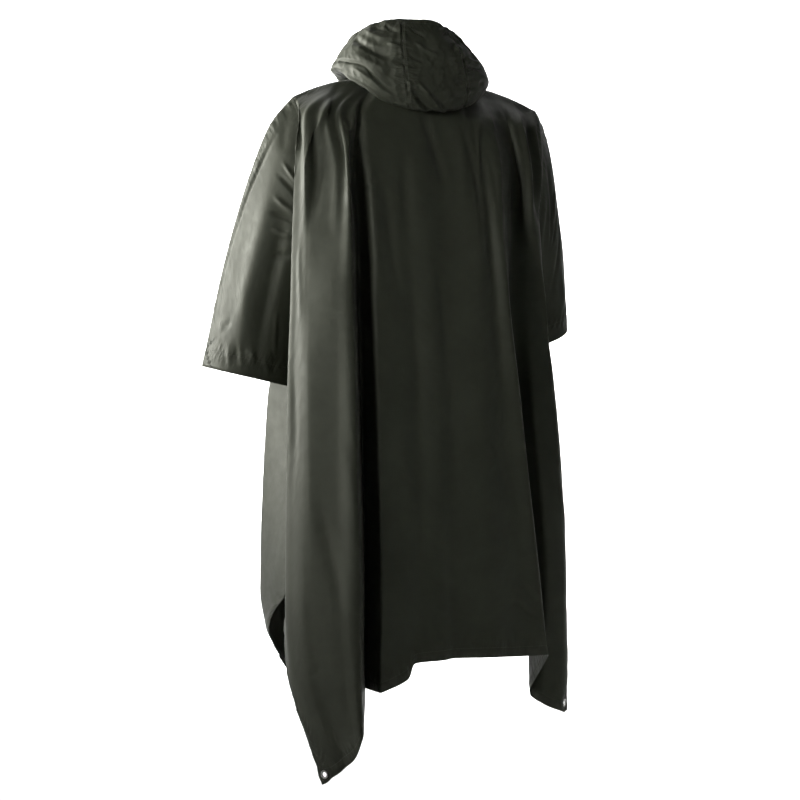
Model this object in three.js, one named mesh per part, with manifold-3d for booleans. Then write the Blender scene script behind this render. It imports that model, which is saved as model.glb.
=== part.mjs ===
// Rain poncho in coated nylon, hollow, as it hangs from a wearer's shoulders, with the hood folded down.
// Millimetres, +Z up, front towards -Y, wearer's left towards +X, origin at the base of the neck.
import * as THREE from "three";
import { mergeVertices } from "three/addons/utils/BufferGeometryUtils.js";
import Module from "manifold-3d";

const wasm = await Module();
wasm.setup();

// Cloth and seams
const WALL = 1.4;
const SEAM_GAP = 0.5;
const MITRE_LIMIT = 1.5;
const SEAM_SHARPEST = 6;
// Points that agree to a twentieth of a millimetre lie on the same seam
const SEAM_PARTS = 20;
const SPLITS = 2;

const SHELL = { color: 0x3d3f37, roughness: 0.5, metalness: 0 };
const METAL = { color: 0xb9bcbd, roughness: 0.3, metalness: 0.9 };

// Neck opening, an ellipse in plan that is lower at the throat than at the nape
const NECK = { x: 5, y: -15, across: 80, deep: 85, side: 10, nape: -8, throat: -42 };

// Shoulder seams run from the side of the neck out to the top of the armhole
const SHOULDER = { tipX: 255, tipY: -5, drop: 45 };

// Armholes, ovals that stand on edge: top at the shoulder tip, bottom at the armpit.
// An end power of 0.5 would round their ends as an ellipse; more makes them leaner
const ARMPIT = { x: 200, y: -15, z: -420 };
const ARMHOLE_HALF_DEPTH = 77;
const ARMHOLE_END = 0.8;

// Heights at which the fold tables give each fold its place; low and hem carry heights of their own.
// The sides are closed down to the slit
const LEVELS = [-80, -180, -300, -420, -600, -970];
const SLIT = 970;
const LOW = 1085;
const HEM = 1200;

// Rows of the mesh, as distances down from the shoulder line
const ROWS = [
  0, 20, 45, 80, 115, 155, 200, 250, 300, 345, 382, 405, 420, 470, 530, 600, 680, 770, 870, SLIT,
  1030, LOW, 1145, HEM,
];
const ARMPIT_ROW = ROWS.indexOf(-ARMPIT.z);

// A fold's top lies on the shoulder seam, at a share of its length from the neck, or round the neck
// at an angle
const onLeft = (share) => ({ side: 1, share });
const onRight = (share) => ({ side: -1, share });
const onNeck = (degrees) => ({ degrees });

// Folds of the back, from the wearer's left edge to the right edge
const BACK_FOLDS = [
  {
    fold: "left edge", top: onLeft(1), low: [284, 48, -1100], hem: [243, 120, -1305],
    at: [[0, 0], [0, 0], [0, 0], [200, -15], [220, 0], [265, -15]],
  },
  {
    fold: "hollow by the sleeve", top: onLeft(0.96), low: [290, 60, -1100], hem: [239, 125, -1302],
    at: [[256, 44], [259, 68], [258, 72], [222, 50], [244, 48], [280, 35]],
  },
  {
    fold: "left ridge", top: onLeft(0.91), low: [290, 76, -1108], hem: [233, 134, -1293],
    at: [[263, 45], [277, 68], [286, 78], [290, 80], [297, 80], [297, 75]],
  },
  {
    fold: "outer flank", top: onLeft(0.76), low: [283, 100, -1110], hem: [226, 141, -1288],
    at: [[254, 58], [269, 80], [278, 92], [283, 95], [289, 97], [291, 98]],
  },
  {
    fold: "short shoulder ridge", top: onLeft(0.54), low: [272, 122, -1110], hem: [219, 149, -1281],
    at: [[229, 82], [268, 92], [271, 105], [276, 110], [282, 115], [283, 118]],
  },
  {
    fold: "shoulder valley", top: onLeft(0.42), low: [256, 140, -1108], hem: [211, 158, -1270],
    at: [[216, 78], [247, 98], [264, 112], [270, 118], [275, 128], [270, 135]],
  },
  {
    fold: "blade ridge", top: onLeft(0.32), low: [225, 176, -1100], hem: [203, 180, -1253],
    at: [[198, 88], [206, 125], [220, 145], [233, 155], [232, 162], [234, 172]],
  },
  {
    fold: "flute edge", top: onLeft(0.16), low: [200, 200, -1095], hem: [194, 198, -1213],
    at: [[172, 95], [199, 138], [202, 160], [204, 172], [204, 185], [201, 200]],
  },
  {
    fold: "deep left valley", top: onLeft(0), low: [152, 100, -1076], hem: [151, 100, -1137],
    at: [[156, 82], [175, 105], [170, 112], [168, 112], [162, 108], [152, 102]],
  },
  {
    fold: "panel's left ridge", top: onNeck(28), low: [147, 171, -1070], hem: [149, 172, -1137],
    at: [[143, 90], [148, 122], [145, 140], [146, 148], [146, 158], [145, 170]],
  },
  {
    fold: "lobe's edge", top: onNeck(42), low: [98, 168, -1062], hem: [91, 168, -1115],
    at: [[119, 91], [117, 123], [111, 141], [106, 148], [100, 158], [98, 168]],
  },
  {
    fold: "soft left valley", top: onNeck(55), low: [70, 166, -1045], hem: [76, 165, -1088],
    at: [[100, 92], [93, 124], [86, 141], [75, 148], [67, 157], [66, 166]],
  },
  {
    fold: "middle ridge", top: onNeck(78), low: [27, 173, -1040], hem: [24, 172, -1084],
    at: [[45, 92], [50, 127], [42, 146], [34, 155], [30, 165], [29, 173]],
  },
  {
    fold: "middle valley", top: onNeck(98), low: [-5, 168, -1040], hem: [-6, 166, -1082],
    at: [[-7, 90], [3, 122], [6, 142], [2, 151], [-1, 160], [-3, 168]],
  },
  {
    fold: "long right ridge", top: onNeck(124), low: [-74, 181, -1040], hem: [-75, 181, -1082],
    at: [[-52, 90], [-56, 127], [-61, 148], [-54, 158], [-57, 170], [-73, 180]],
  },
  {
    fold: "soft right valley", top: onRight(0), low: [-131, 172, -1040], hem: [-133, 171, -1084],
    at: [[-79, 86], [-83, 122], [-87, 140], [-91, 150], [-101, 160], [-130, 172]],
  },
  {
    fold: "panel's right edge", top: onRight(0.2), low: [-183, 177, -1040], hem: [-191, 175, -1083],
    at: [[-107, 84], [-106, 128], [-108, 150], [-115, 160], [-133, 170], [-175, 178]],
  },
  {
    fold: "deep right valley", top: onRight(0.36), low: [-202, 71, -1070], hem: [-204, 70, -1170],
    at: [[-149, 66], [-158, 92], [-156, 92], [-154, 88], [-175, 80], [-200, 72]],
  },
  {
    fold: "right flute edge", top: onRight(0.5), low: [-227, 95, -1080], hem: [-222, 88, -1188],
    at: [[-166, 72], [-172, 98], [-182, 104], [-186, 104], [-197, 104], [-229, 100]],
  },
  {
    fold: "right ridge", top: onRight(0.68), low: [-262, 95, -1090], hem: [-256, 92, -1203],
    at: [[-184, 66], [-187, 98], [-200, 110], [-219, 112], [-236, 108], [-264, 95]],
  },
  {
    fold: "right flank", top: onRight(0.85), low: [-283, 78, -1090], hem: [-272, 85, -1207],
    at: [[-214, 54], [-216, 78], [-220, 86], [-224, 76], [-252, 76], [-284, 62]],
  },
  {
    fold: "right edge", top: onRight(1), low: [-291, 52, -1085], hem: [-280, 76, -1205],
    at: [[0, 0], [0, 0], [0, 0], [-200, -15], [-225, -2], [-268, -12]],
  },
];

// Folds of the front, from the wearer's right edge to the left edge
const FRONT_FOLDS = [
  {
    fold: "right edge", top: onRight(1), low: [-262, -118, -1035], hem: [-240, -132, -1104],
    at: [[0, 0], [0, 0], [0, 0], [-200, -15], [-225, -2], [-268, -12]],
  },
  {
    fold: "right hollow", top: onRight(0.85), low: [-258, -132, -1036], hem: [-238, -144, -1107],
    at: [[-232, -60], [-220, -98], [-203, -100], [-193, -70], [-216, -55], [-262, -60]],
  },
  {
    fold: "right arm ridge", top: onRight(0.68), low: [-250, -150, -1036], hem: [-232, -158, -1109],
    at: [[-206, -68], [-212, -106], [-208, -118], [-208, -118], [-222, -118], [-258, -122]],
  },
  {
    fold: "right arm flank", top: onRight(0.5), low: [-238, -168, -1038], hem: [-221, -173, -1109],
    at: [[-176, -66], [-196, -108], [-208, -132], [-214, -145], [-228, -154], [-250, -162]],
  },
  {
    fold: "right flute edge", top: onRight(0.36), low: [-208, -196, -1042], hem: [-197, -195, -1106],
    at: [[-156, -74], [-178, -122], [-192, -150], [-202, -166], [-216, -182], [-224, -192]],
  },
  {
    fold: "right valley", top: onRight(0.2), low: [-160, -150, -1045], hem: [-154, -154, -1102],
    at: [[-132, -70], [-150, -108], [-152, -124], [-156, -130], [-162, -138], [-166, -146]],
  },
  {
    fold: "right chest ridge", top: onRight(0), low: [-122, -196, -1040], hem: [-119, -196, -1097],
    at: [[-104, -92], [-118, -134], [-122, -156], [-122, -168], [-124, -182], [-126, -194]],
  },
  {
    fold: "soft right valley", top: onNeck(-138), low: [-72, -190, -1034], hem: [-71, -190, -1088],
    at: [[-72, -102], [-76, -138], [-78, -156], [-76, -167], [-74, -180], [-73, -190]],
  },
  {
    fold: "right middle ridge", top: onNeck(-118), low: [-34, -204, -1030], hem: [-34, -202, -1084],
    at: [[-38, -112], [-40, -150], [-38, -170], [-36, -182], [-35, -195], [-34, -205]],
  },
  {
    fold: "middle valley", top: onNeck(-92), low: [8, -196, -1028], hem: [8, -194, -1080],
    at: [[4, -110], [4, -144], [6, -163], [7, -175], [8, -187], [8, -196]],
  },
  {
    fold: "left middle ridge", top: onNeck(-66), low: [52, -206, -1030], hem: [50, -204, -1084],
    at: [[44, -113], [48, -150], [50, -169], [51, -182], [52, -196], [52, -206]],
  },
  {
    fold: "soft left valley", top: onNeck(-40), low: [88, -192, -1034], hem: [82, -190, -1092],
    at: [[82, -102], [86, -138], [88, -156], [88, -168], [88, -182], [89, -191]],
  },
  {
    fold: "left chest ridge", top: onLeft(0), low: [124, -204, -1040], hem: [104, -200, -1106],
    at: [[108, -92], [122, -136], [126, -158], [127, -171], [128, -188], [128, -202]],
  },
  {
    fold: "left inner valley", top: onLeft(0.16), low: [158, -160, -1045], hem: [116, -176, -1122],
    at: [[132, -74], [148, -112], [154, -132], [157, -140], [160, -150], [162, -157]],
  },
  {
    fold: "left flute edge", top: onLeft(0.32), low: [204, -204, -1046], hem: [130, -198, -1140],
    at: [[158, -76], [180, -124], [192, -152], [198, -168], [208, -188], [212, -202]],
  },
  {
    fold: "left flute flank", top: onLeft(0.42), low: [228, -194, -1048], hem: [138, -192, -1156],
    at: [[176, -72], [196, -116], [208, -144], [214, -158], [226, -180], [234, -194]],
  },
  {
    fold: "left chest flank", top: onLeft(0.54), low: [242, -182, -1048], hem: [143, -186, -1170],
    at: [[198, -68], [210, -108], [218, -134], [224, -150], [240, -172], [250, -184]],
  },
  {
    fold: "left arm ridge", top: onLeft(0.76), low: [252, -166, -1046], hem: [147, -181, -1184],
    at: [[224, -68], [218, -108], [216, -122], [220, -130], [250, -160], [262, -170]],
  },
  {
    fold: "left arm flank", top: onLeft(0.91), low: [257, -148, -1044], hem: [150, -177, -1196],
    at: [[245, -58], [225, -100], [213, -106], [210, -100], [236, -120], [266, -140]],
  },
  {
    fold: "left hollow", top: onLeft(0.96), low: [260, -134, -1042], hem: [152, -173, -1204],
    at: [[251, -52], [230, -94], [206, -96], [195, -66], [216, -60], [268, -75]],
  },
  {
    fold: "left edge", top: onLeft(1), low: [262, -118, -1040], hem: [155, -168, -1210],
    at: [[0, 0], [0, 0], [0, 0], [200, -15], [220, 0], [265, -15]],
  },
];

// Sleeve sections from the armhole to the cuff: the overarm and underarm points, and half the depth between
const SLEEVE_SPLITS = 2;
const LEFT_SLEEVE = [
  { over: [255, -5, -35], under: [200, -15, -420], half: ARMHOLE_HALF_DEPTH, turn: 0 },
  { over: [296, -12, -86], under: [208, -17, -441], half: 76, turn: 4 },
  { over: [330, -32, -180], under: [215, -24, -468], half: 74, turn: 10 },
  { over: [368, -70, -345], under: [229, -38, -522], half: 68, turn: 17 },
  { over: [398, -113, -540], under: [246, -50, -578], half: 60, turn: 23 },
];
const RIGHT_SLEEVE = [
  { over: [-255, -5, -35], under: [-200, -15, -420], half: ARMHOLE_HALF_DEPTH, turn: 0 },
  { over: [-281, -12, -86], under: [-208, -17, -438], half: 72, turn: -4 },
  { over: [-298, -24, -170], under: [-216, -24, -453], half: 70, turn: -9 },
  { over: [-322, -42, -310], under: [-226, -34, -478], half: 66, turn: -14 },
  { over: [-338, -62, -452], under: [-240, -44, -506], half: 60, turn: -19 },
];

// Hood, fallen back and standing round the neck: heights of the roll at its foot, of its widest line,
// of its shoulder and of the rim, at angles round the neck from the nape
const HOOD = { x: 13, y: -10, across: 159, deep: 122, gap: 1.2 };
const HOOD_ANGLES = [
  { angle: -172, roll: -36, wide: -28, shoulder: -16, rim: -4, reach: 0.86, lean: 0.93 },
  { angle: -140, roll: -12, wide: -2, shoulder: 6, rim: 20, reach: 0.86, lean: 0.86 },
  { angle: -90, roll: 12, wide: 18, shoulder: 32, rim: 55, reach: 0.98, lean: 0.72 },
  { angle: -60, roll: -20, wide: 8, shoulder: 40, rim: 78, reach: 1, lean: 0.68 },
  { angle: -30, roll: -48, wide: -16, shoulder: 48, rim: 99, reach: 1, lean: 0.68 },
  { angle: 0, roll: -64, wide: -26, shoulder: 52, rim: 114, reach: 1, lean: 0.68 },
  { angle: 30, roll: -52, wide: -18, shoulder: 54, rim: 114, reach: 1, lean: 0.68 },
  { angle: 60, roll: -13, wide: 10, shoulder: 56, rim: 104, reach: 1, lean: 0.72 },
  { angle: 90, roll: 17, wide: 26, shoulder: 46, rim: 88, reach: 1, lean: 0.76 },
  { angle: 140, roll: -12, wide: -2, shoulder: 6, rim: 22, reach: 0.86, lean: 0.86 },
  { angle: 172, roll: -36, wide: -28, shoulder: -16, rim: -4, reach: 0.86, lean: 0.93 },
];
// Section of the hood, from the neck seam down to the roll and up to the rim, as shares of the widest line
const HOOD_SECTION = { fold: 0.12, roll: 0.3, wide: 0.45, shoulder: 0.75, rim: 1 };
const HOOD_ROLL_REACH = 0.9;
const HOOD_SHOULDER_REACH = 0.94;
// Where the cloth folds over on its way down: its share of the way out, and how far it has sunk by then
const HOOD_FOLD_OUT = 0.45;
const HOOD_FOLD_SUNK = 0.3;
const HOOD_STEPS = [0, 0.06, 0.12, 0.18, 0.24, 0.3, 0.36, 0.45, 0.55, 0.65, 0.75, 0.84, 0.92, 1];
// The seams of the centre panel, as angles round the neck at the roll and at the rim
const HOOD_SEAMS = { left: [15, 26], right: [-30, -22] };
// The front edges of the side panels
const HOOD_ENDS = { left: [172, 172], right: [-172, -172] };
const HOOD_SIDE_STEPS = 14;
const HOOD_CENTRE_STEPS = 5;

// Corner eyelets: radii of the bore, of the hole in the cloth and of the flanges, the flanges' wall,
// half the grip between them, and how far in from the corner they sit
const EYELET = { bore: 4.6, hole: 5.7, barrel: 5.3, flange: 8, wall: 0.7, grip: 1.5, inset: 19, sides: 20 };
// Length of the punch that cuts the hole, and the steps of the hem that give a corner its direction
const PUNCH = 9;
const CORNER_STEPS = 4;

// Monotone cubic through (xs, ys), so that a fold never swings past the points that set it
function monotone(xs, ys) {
  const n = xs.length;
  const step = xs.slice(1).map((x, i) => x - xs[i]);
  const slope = step.map((h, i) => (ys[i + 1] - ys[i]) / h);
  const tangent = xs.map((_, i) => {
    if (i === 0) return slope[0];
    if (i === n - 1) return slope[n - 2];
    if (slope[i - 1] * slope[i] <= 0) return 0;
    const before = 2 * step[i] + step[i - 1];
    const after = step[i] + 2 * step[i - 1];
    return (before + after) / (before / slope[i - 1] + after / slope[i]);
  });
  return (x) => {
    let i = 0;
    while (i < n - 2 && x > xs[i + 1]) i++;
    const t = (x - xs[i]) / step[i];
    const rise = ys[i + 1] - ys[i];
    const bend = step[i] * (tangent[i] + tangent[i + 1]) - 2 * rise;
    const lead = 3 * rise - step[i] * (2 * tangent[i] + tangent[i + 1]);
    return ys[i] + t * (step[i] * tangent[i] + t * (lead + t * bend));
  };
}

// The same curve through points
function monotonePath(xs, points) {
  const axes = [0, 1, 2].map((k) => monotone(xs, points.map((p) => p[k])));
  return (x) => axes.map((axis) => axis(x));
}

const mix = (a, b, t) => a + (b - a) * t;

// Point of the neck seam at an angle in plan, 90 degrees at the nape
function neckPoint(degrees) {
  const a = THREE.MathUtils.degToRad(degrees);
  const end = Math.sin(a) > 0 ? NECK.nape : NECK.throat;
  const z = mix(NECK.side, end, Math.sin(a) ** 2);
  return [NECK.x + NECK.across * Math.cos(a), NECK.y + NECK.deep * Math.sin(a), z];
}

function shoulderPoint({ side, share }) {
  const x = mix(NECK.x + side * NECK.across, side * SHOULDER.tipX, share);
  return [x, mix(NECK.y, SHOULDER.tipY, share), NECK.side - SHOULDER.drop * share ** 2];
}

const SHOULDER_TIP_Z = shoulderPoint({ side: 1, share: 1 })[2];
const ABOVE_ARMPIT = LEVELS.filter((z) => z >= ARMPIT.z);
const armholeHeight = monotone([0, ...ABOVE_ARMPIT.map((z) => -z)], [SHOULDER_TIP_Z, ...ABOVE_ARMPIT]);

// Point of a side's armhole at a height, on its back (+1) or its front (-1)
function armholePoint(side, z, face) {
  const half = (SHOULDER_TIP_Z - ARMPIT.z) / 2;
  const up = THREE.MathUtils.clamp((z - ARMPIT.z) / half - 1, -1, 1);
  const x = mix(ARMPIT.x, SHOULDER.tipX, (up + 1) / 2);
  const y = mix(ARMPIT.y, SHOULDER.tipY, (up + 1) / 2);
  return [side * x, y + face * ARMHOLE_HALF_DEPTH * (1 - up * up) ** ARMHOLE_END, z];
}

const topPoint = (top) => (top.degrees === undefined ? shoulderPoint(top) : neckPoint(top.degrees));

// Line of one fold from top to hem; an edge fold is armhole, then side seam, then free edge
function foldLine(row, face) {
  const points = [topPoint(row.top), ...row.at.map(([x, y], i) => [x, y, LEVELS[i]]), row.low, row.hem];
  const downs = [0, ...LEVELS.map((z) => -z), LOW, HEM];
  if (row.top.share !== 1) return monotonePath(downs, points);
  const seamFrom = downs.indexOf(-ARMPIT.z);
  const seamTo = downs.indexOf(SLIT);
  const seam = monotonePath(downs.slice(seamFrom, seamTo + 1), points.slice(seamFrom, seamTo + 1));
  const free = monotonePath(downs.slice(seamTo), points.slice(seamTo));
  return (down) => {
    if (down < -ARMPIT.z) return armholePoint(row.top.side, armholeHeight(down), face);
    return down < SLIT ? seam(down) : free(down);
  };
}

// Top of a panel between two of its folds, along the shoulder seam or round the neck
function topBetween(a, b, t) {
  if (a.side !== undefined && a.side === b.side) {
    return shoulderPoint({ side: a.side, share: mix(a.share, b.share, t) });
  }
  const angle = (top, other) => {
    if (top.degrees !== undefined) return top.degrees;
    if (top.side > 0) return 0;
    return other.degrees > 0 ? 180 : -180;
  };
  return neckPoint(mix(angle(a, b), angle(b, a), t));
}

// Grid of points over a panel: a row for each distance down, a column for each step across its folds
function panelGrid(folds, face) {
  const lines = folds.map((row) => foldLine(row, face));
  const index = folds.map((_, i) => i);
  return ROWS.map((down) => {
    const across = monotonePath(index, lines.map((line) => line(down)));
    const row = [];
    for (let i = 0; i <= (folds.length - 1) * SPLITS; i++) {
      const fold = Math.min(Math.floor(i / SPLITS), folds.length - 2);
      const top = down === 0 && topBetween(folds[fold].top, folds[fold + 1].top, i / SPLITS - fold);
      row.push(top || across(i / SPLITS));
    }
    return row;
  });
}

// Ring of a sleeve: its points follow the armhole's rows down the back and up the front
function sleeveGrid(table, side) {
  const half = (SHOULDER_TIP_Z - ARMPIT.z) / 2;
  const ups = ROWS.slice(0, ARMPIT_ROW + 1).map((down) => (armholeHeight(down) - ARMPIT.z) / half - 1);
  const turns = ups.map((up) => Math.acos(THREE.MathUtils.clamp(up, -1, 1)));
  const round = [...turns, ...turns.slice(1, -1).reverse().map((a) => -a)];
  const stations = table.map((_, i) => i);
  const over = monotonePath(stations, table.map((s) => s.over));
  const under = monotonePath(stations, table.map((s) => s.under));
  const depth = monotone(stations, table.map((s) => s.half));
  const turn = monotone(stations, table.map((s) => s.turn));
  const grid = [];
  for (let i = 0; i <= (table.length - 1) * SLEEVE_SPLITS; i++) {
    const t = i / SLEEVE_SPLITS;
    const o = over(t);
    const u = under(t);
    const yaw = THREE.MathUtils.degToRad(turn(t));
    const back = [Math.sin(yaw) * depth(t), Math.cos(yaw) * depth(t), 0];
    const bulge = (a) => Math.sign(a) * (1 - Math.cos(a) ** 2) ** ARMHOLE_END;
    const point = (a) => o.map((top, k) => mix(u[k], top, (Math.cos(a) + 1) / 2) + bulge(a) * back[k]);
    grid.push(round.map(point));
  }
  return side > 0 ? grid : grid.map((ring) => [ring[0], ...ring.slice(1).reverse()]);
}

// Point of the hood at an angle round the neck from the nape, and a share of its section
function hoodPoint(angle, share) {
  const angles = HOOD_ANGLES.map((row) => row.angle);
  const read = (name) => monotone(angles, HOOD_ANGLES.map((row) => row[name]))(angle);
  const seam = neckPoint(90 - angle);
  const a = THREE.MathUtils.degToRad(angle);
  const reach = read("reach");
  const out = (scale, z) => [
    HOOD.x + HOOD.across * scale * reach * Math.sin(a),
    HOOD.y + HOOD.deep * scale * reach * Math.cos(a),
    z,
  ];
  const roll = out(HOOD_ROLL_REACH, read("roll"));
  const start = [seam[0], seam[1], seam[2] + HOOD.gap];
  const fold = start.map((v, k) => mix(v, roll[k], HOOD_FOLD_OUT));
  fold[2] = Math.max(fold[2], mix(start[2], roll[2], HOOD_FOLD_SUNK));
  const s = HOOD_SECTION;
  const shoulder = out(HOOD_SHOULDER_REACH, read("shoulder"));
  const rim = out(read("lean"), read("rim"));
  const points = [start, fold, roll, out(1, read("wide")), shoulder, rim];
  return monotonePath([0, s.fold, s.roll, s.wide, s.shoulder, s.rim], points)(share);
}

// Grid of a hood panel between two seams, each given as its angles at the roll and at the rim
function hoodGrid(from, to, steps) {
  return HOOD_STEPS.map((share) => {
    const row = [];
    for (let i = 0; i <= steps; i++) {
      row.push(hoodPoint(mix(mix(from[0], from[1], share), mix(to[0], to[1], share), i / steps), share));
    }
    return row;
  });
}

// Triangles of a grid's cells, each facing outwards
function gridFaces(rows, columns, closed) {
  const faces = [];
  for (let r = 0; r < rows - 1; r++) {
    for (let c = 0; c < (closed ? columns : columns - 1); c++) {
      const d = (c + 1) % columns;
      const [a, b, e, f] = [r * columns + c, (r + 1) * columns + c, r * columns + d, (r + 1) * columns + d];
      faces.push([a, b, f], [a, f, e]);
    }
  }
  return faces;
}

const seamKey = (p) => p.map((v) => Math.round(v * SEAM_PARTS)).join();

// Outward direction at every point, shared by all the pieces that meet there, so that seams are mitred,
// and how sharply the cloth turns there: 1 where it is flat
function seamDirections(pieces) {
  const sums = new Map();
  for (const piece of pieces) {
    for (const face of piece.faces) {
      const [a, b, c] = face.map((i) => new THREE.Vector3(...piece.points[i]));
      const normal = b.clone().sub(a).cross(c.clone().sub(a)).normalize();
      const corners = [[a, b, c], [b, c, a], [c, a, b]];
      face.forEach((i, k) => {
        const [p, q, r] = corners[k];
        const angle = q.clone().sub(p).angleTo(r.clone().sub(p));
        const key = seamKey(piece.points[i]);
        const entry = sums.get(key) ?? { sum: new THREE.Vector3(), normals: [] };
        entry.sum.addScaledVector(normal, angle);
        entry.normals.push(normal);
        sums.set(key, entry);
      });
    }
  }
  const directions = new Map();
  for (const [key, { sum, normals }] of sums) {
    const way = sum.normalize();
    const least = Math.min(...normals.map((n) => n.dot(way)));
    directions.set(key, { way, sharp: 1 / Math.max(least, 1 / SEAM_SHARPEST) });
  }
  return directions;
}

// Closed wall of cloth: the outer grid, an inner copy of it, and rims round the open edges
function clothWall(piece, directions) {
  const { rows, columns, closed, points, faces } = piece;
  const outer = points.map((p) => new THREE.Vector3(...p));
  const turns = points.map((p) => directions.get(seamKey(p)));
  const inner = outer.map((p, i) => {
    return p.clone().addScaledVector(turns[i].way, -WALL * Math.min(turns[i].sharp, MITRE_LIMIT));
  });
  const at = (r, c) => r * columns + c;
  const moves = [];
  const pull = (from, to, before, after) => {
    for (const side of [outer, inner]) {
      const along = side[after].clone().sub(side[before]).normalize();
      const way = side[to].clone().sub(side[from]);
      way.addScaledVector(along, -way.dot(along)).normalize();
      moves.push([side[from], way.multiplyScalar((SEAM_GAP / 2) * turns[from].sharp)]);
    }
  };
  for (let c = 0; c < columns; c++) {
    const before = closed ? (c + columns - 1) % columns : Math.max(c - 1, 0);
    const after = closed ? (c + 1) % columns : Math.min(c + 1, columns - 1);
    pull(at(0, c), at(1, c), at(0, before), at(0, after));
    pull(at(rows - 1, c), at(rows - 2, c), at(rows - 1, before), at(rows - 1, after));
  }
  for (let r = 0; r < rows && !closed; r++) {
    const before = Math.max(r - 1, 0);
    const after = Math.min(r + 1, rows - 1);
    pull(at(r, 0), at(r, 1), at(before, 0), at(after, 0));
    pull(at(r, columns - 1), at(r, columns - 2), at(before, columns - 1), at(after, columns - 1));
  }
  for (const [point, way] of moves) point.add(way);
  const edge = [];
  if (closed) {
    for (const r of [0, rows - 1]) {
      const loop = Array.from({ length: columns }, (_, c) => at(r, c));
      edge.push(r === 0 ? loop : loop.reverse());
    }
  } else {
    const loop = [];
    for (let c = 0; c < columns - 1; c++) loop.push(at(0, c));
    for (let r = 0; r < rows - 1; r++) loop.push(at(r, columns - 1));
    for (let c = columns - 1; c > 0; c--) loop.push(at(rows - 1, c));
    for (let r = rows - 1; r > 0; r--) loop.push(at(r, 0));
    edge.push(loop);
  }
  const count = outer.length;
  const index = [];
  for (const [a, b, c] of faces) index.push(a, b, c, count + a, count + c, count + b);
  for (const loop of edge) {
    loop.forEach((a, i) => {
      const b = loop[(i + 1) % loop.length];
      index.push(a, b, count + b, a, count + b, count + a);
    });
  }
  const geometry = new THREE.BufferGeometry();
  const xyz = [...outer, ...inner].flatMap((p) => [p.x, p.y, p.z]);
  geometry.setAttribute("position", new THREE.Float32BufferAttribute(xyz, 3));
  geometry.setIndex(index);
  return geometry;
}

function clothPiece(name, grid, closed = false) {
  const rows = grid.length;
  const columns = grid[0].length;
  return { name, rows, columns, closed, points: grid.flat(), faces: gridFaces(rows, columns, closed) };
}

const solidOf = (geometry) => {
  const plain = geometry.clone();
  plain.deleteAttribute("normal");
  plain.deleteAttribute("uv");
  const merged = mergeVertices(plain);
  return new wasm.Manifold(
    new wasm.Mesh({
      numProp: 3,
      vertProperties: merged.attributes.position.array,
      triVerts: new Uint32Array(merged.index.array),
    }),
  );
};

const geometryOf = (solid) => {
  const mesh = solid.getMesh();
  const geometry = new THREE.BufferGeometry();
  geometry.setAttribute("position", new THREE.Float32BufferAttribute(mesh.vertProperties, 3));
  geometry.setIndex(Array.from(mesh.triVerts));
  return geometry;
};

// Where a corner's eyelet goes: the middle of the cloth's wall near the corner, and the way the cloth
// faces there
function eyeletPlace(piece, geometry, column) {
  const at = (r, c) => new THREE.Vector3(...piece.points[r * piece.columns + c]);
  const inward = column === 0 ? 1 : -1;
  const last = piece.rows - 1;
  const corner = at(last, column);
  const along = at(last, column + CORNER_STEPS * inward).sub(corner).normalize();
  const up = at(last - 1, column).sub(corner).normalize();
  const face = along.clone().cross(up).multiplyScalar(inward).normalize();
  const spot = corner.clone().addScaledVector(along.clone().add(up).normalize(), EYELET.inset);
  const cloth = new THREE.Mesh(geometry, new THREE.MeshBasicMaterial({ side: THREE.DoubleSide }));
  const middleNear = (aside) => {
    const target = spot.clone().add(aside);
    const above = target.clone().addScaledVector(face, EYELET.inset);
    const ray = new THREE.Raycaster(above, face.clone().negate());
    const [first, second] = ray.intersectObject(cloth)
      .sort((a, b) => a.point.distanceTo(target) - b.point.distanceTo(target));
    return first.point.clone().lerp(second.point, 0.5);
  };
  const across = up.clone().cross(face).normalize().multiplyScalar(EYELET.flange);
  const upward = face.clone().cross(across);
  const [east, west] = [middleNear(across), middleNear(across.clone().negate())];
  const [north, south] = [middleNear(upward), middleNear(upward.clone().negate())];
  const normal = east.clone().sub(west).cross(north.clone().sub(south)).normalize();
  const centre = east.clone().add(west).add(north).add(south).multiplyScalar(0.25);
  return { centre, turn: new THREE.Quaternion().setFromUnitVectors(new THREE.Vector3(0, 1, 0), normal) };
}

// Round hole through the cloth at the eyelet's place
function cutHole(geometry, { centre, turn }) {
  const hole = new THREE.CylinderGeometry(EYELET.hole, EYELET.hole, PUNCH, EYELET.sides);
  hole.applyQuaternion(turn).translate(centre.x, centre.y, centre.z);
  return geometryOf(solidOf(geometry).subtract(solidOf(hole)));
}

// Metal ring whose flanges stand on both faces of the cloth
function eyeletGeometry() {
  const { bore, barrel, flange, wall, grip, sides } = EYELET;
  const profile = [
    [bore, -grip - wall], [flange, -grip - wall], [flange, -grip], [barrel, -grip],
    [barrel, grip], [flange, grip], [flange, grip + wall], [bore, grip + wall], [bore, -grip - wall],
  ].map(([r, y]) => new THREE.Vector2(r, y));
  return new THREE.LatheGeometry(profile, sides);
}

const root = new THREE.Group();
const mesh = (name, geometry, finish) => {
  const made = new THREE.Mesh(geometry, new THREE.MeshStandardMaterial(finish));
  made.name = name;
  root.add(made);
  return made;
};

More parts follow.
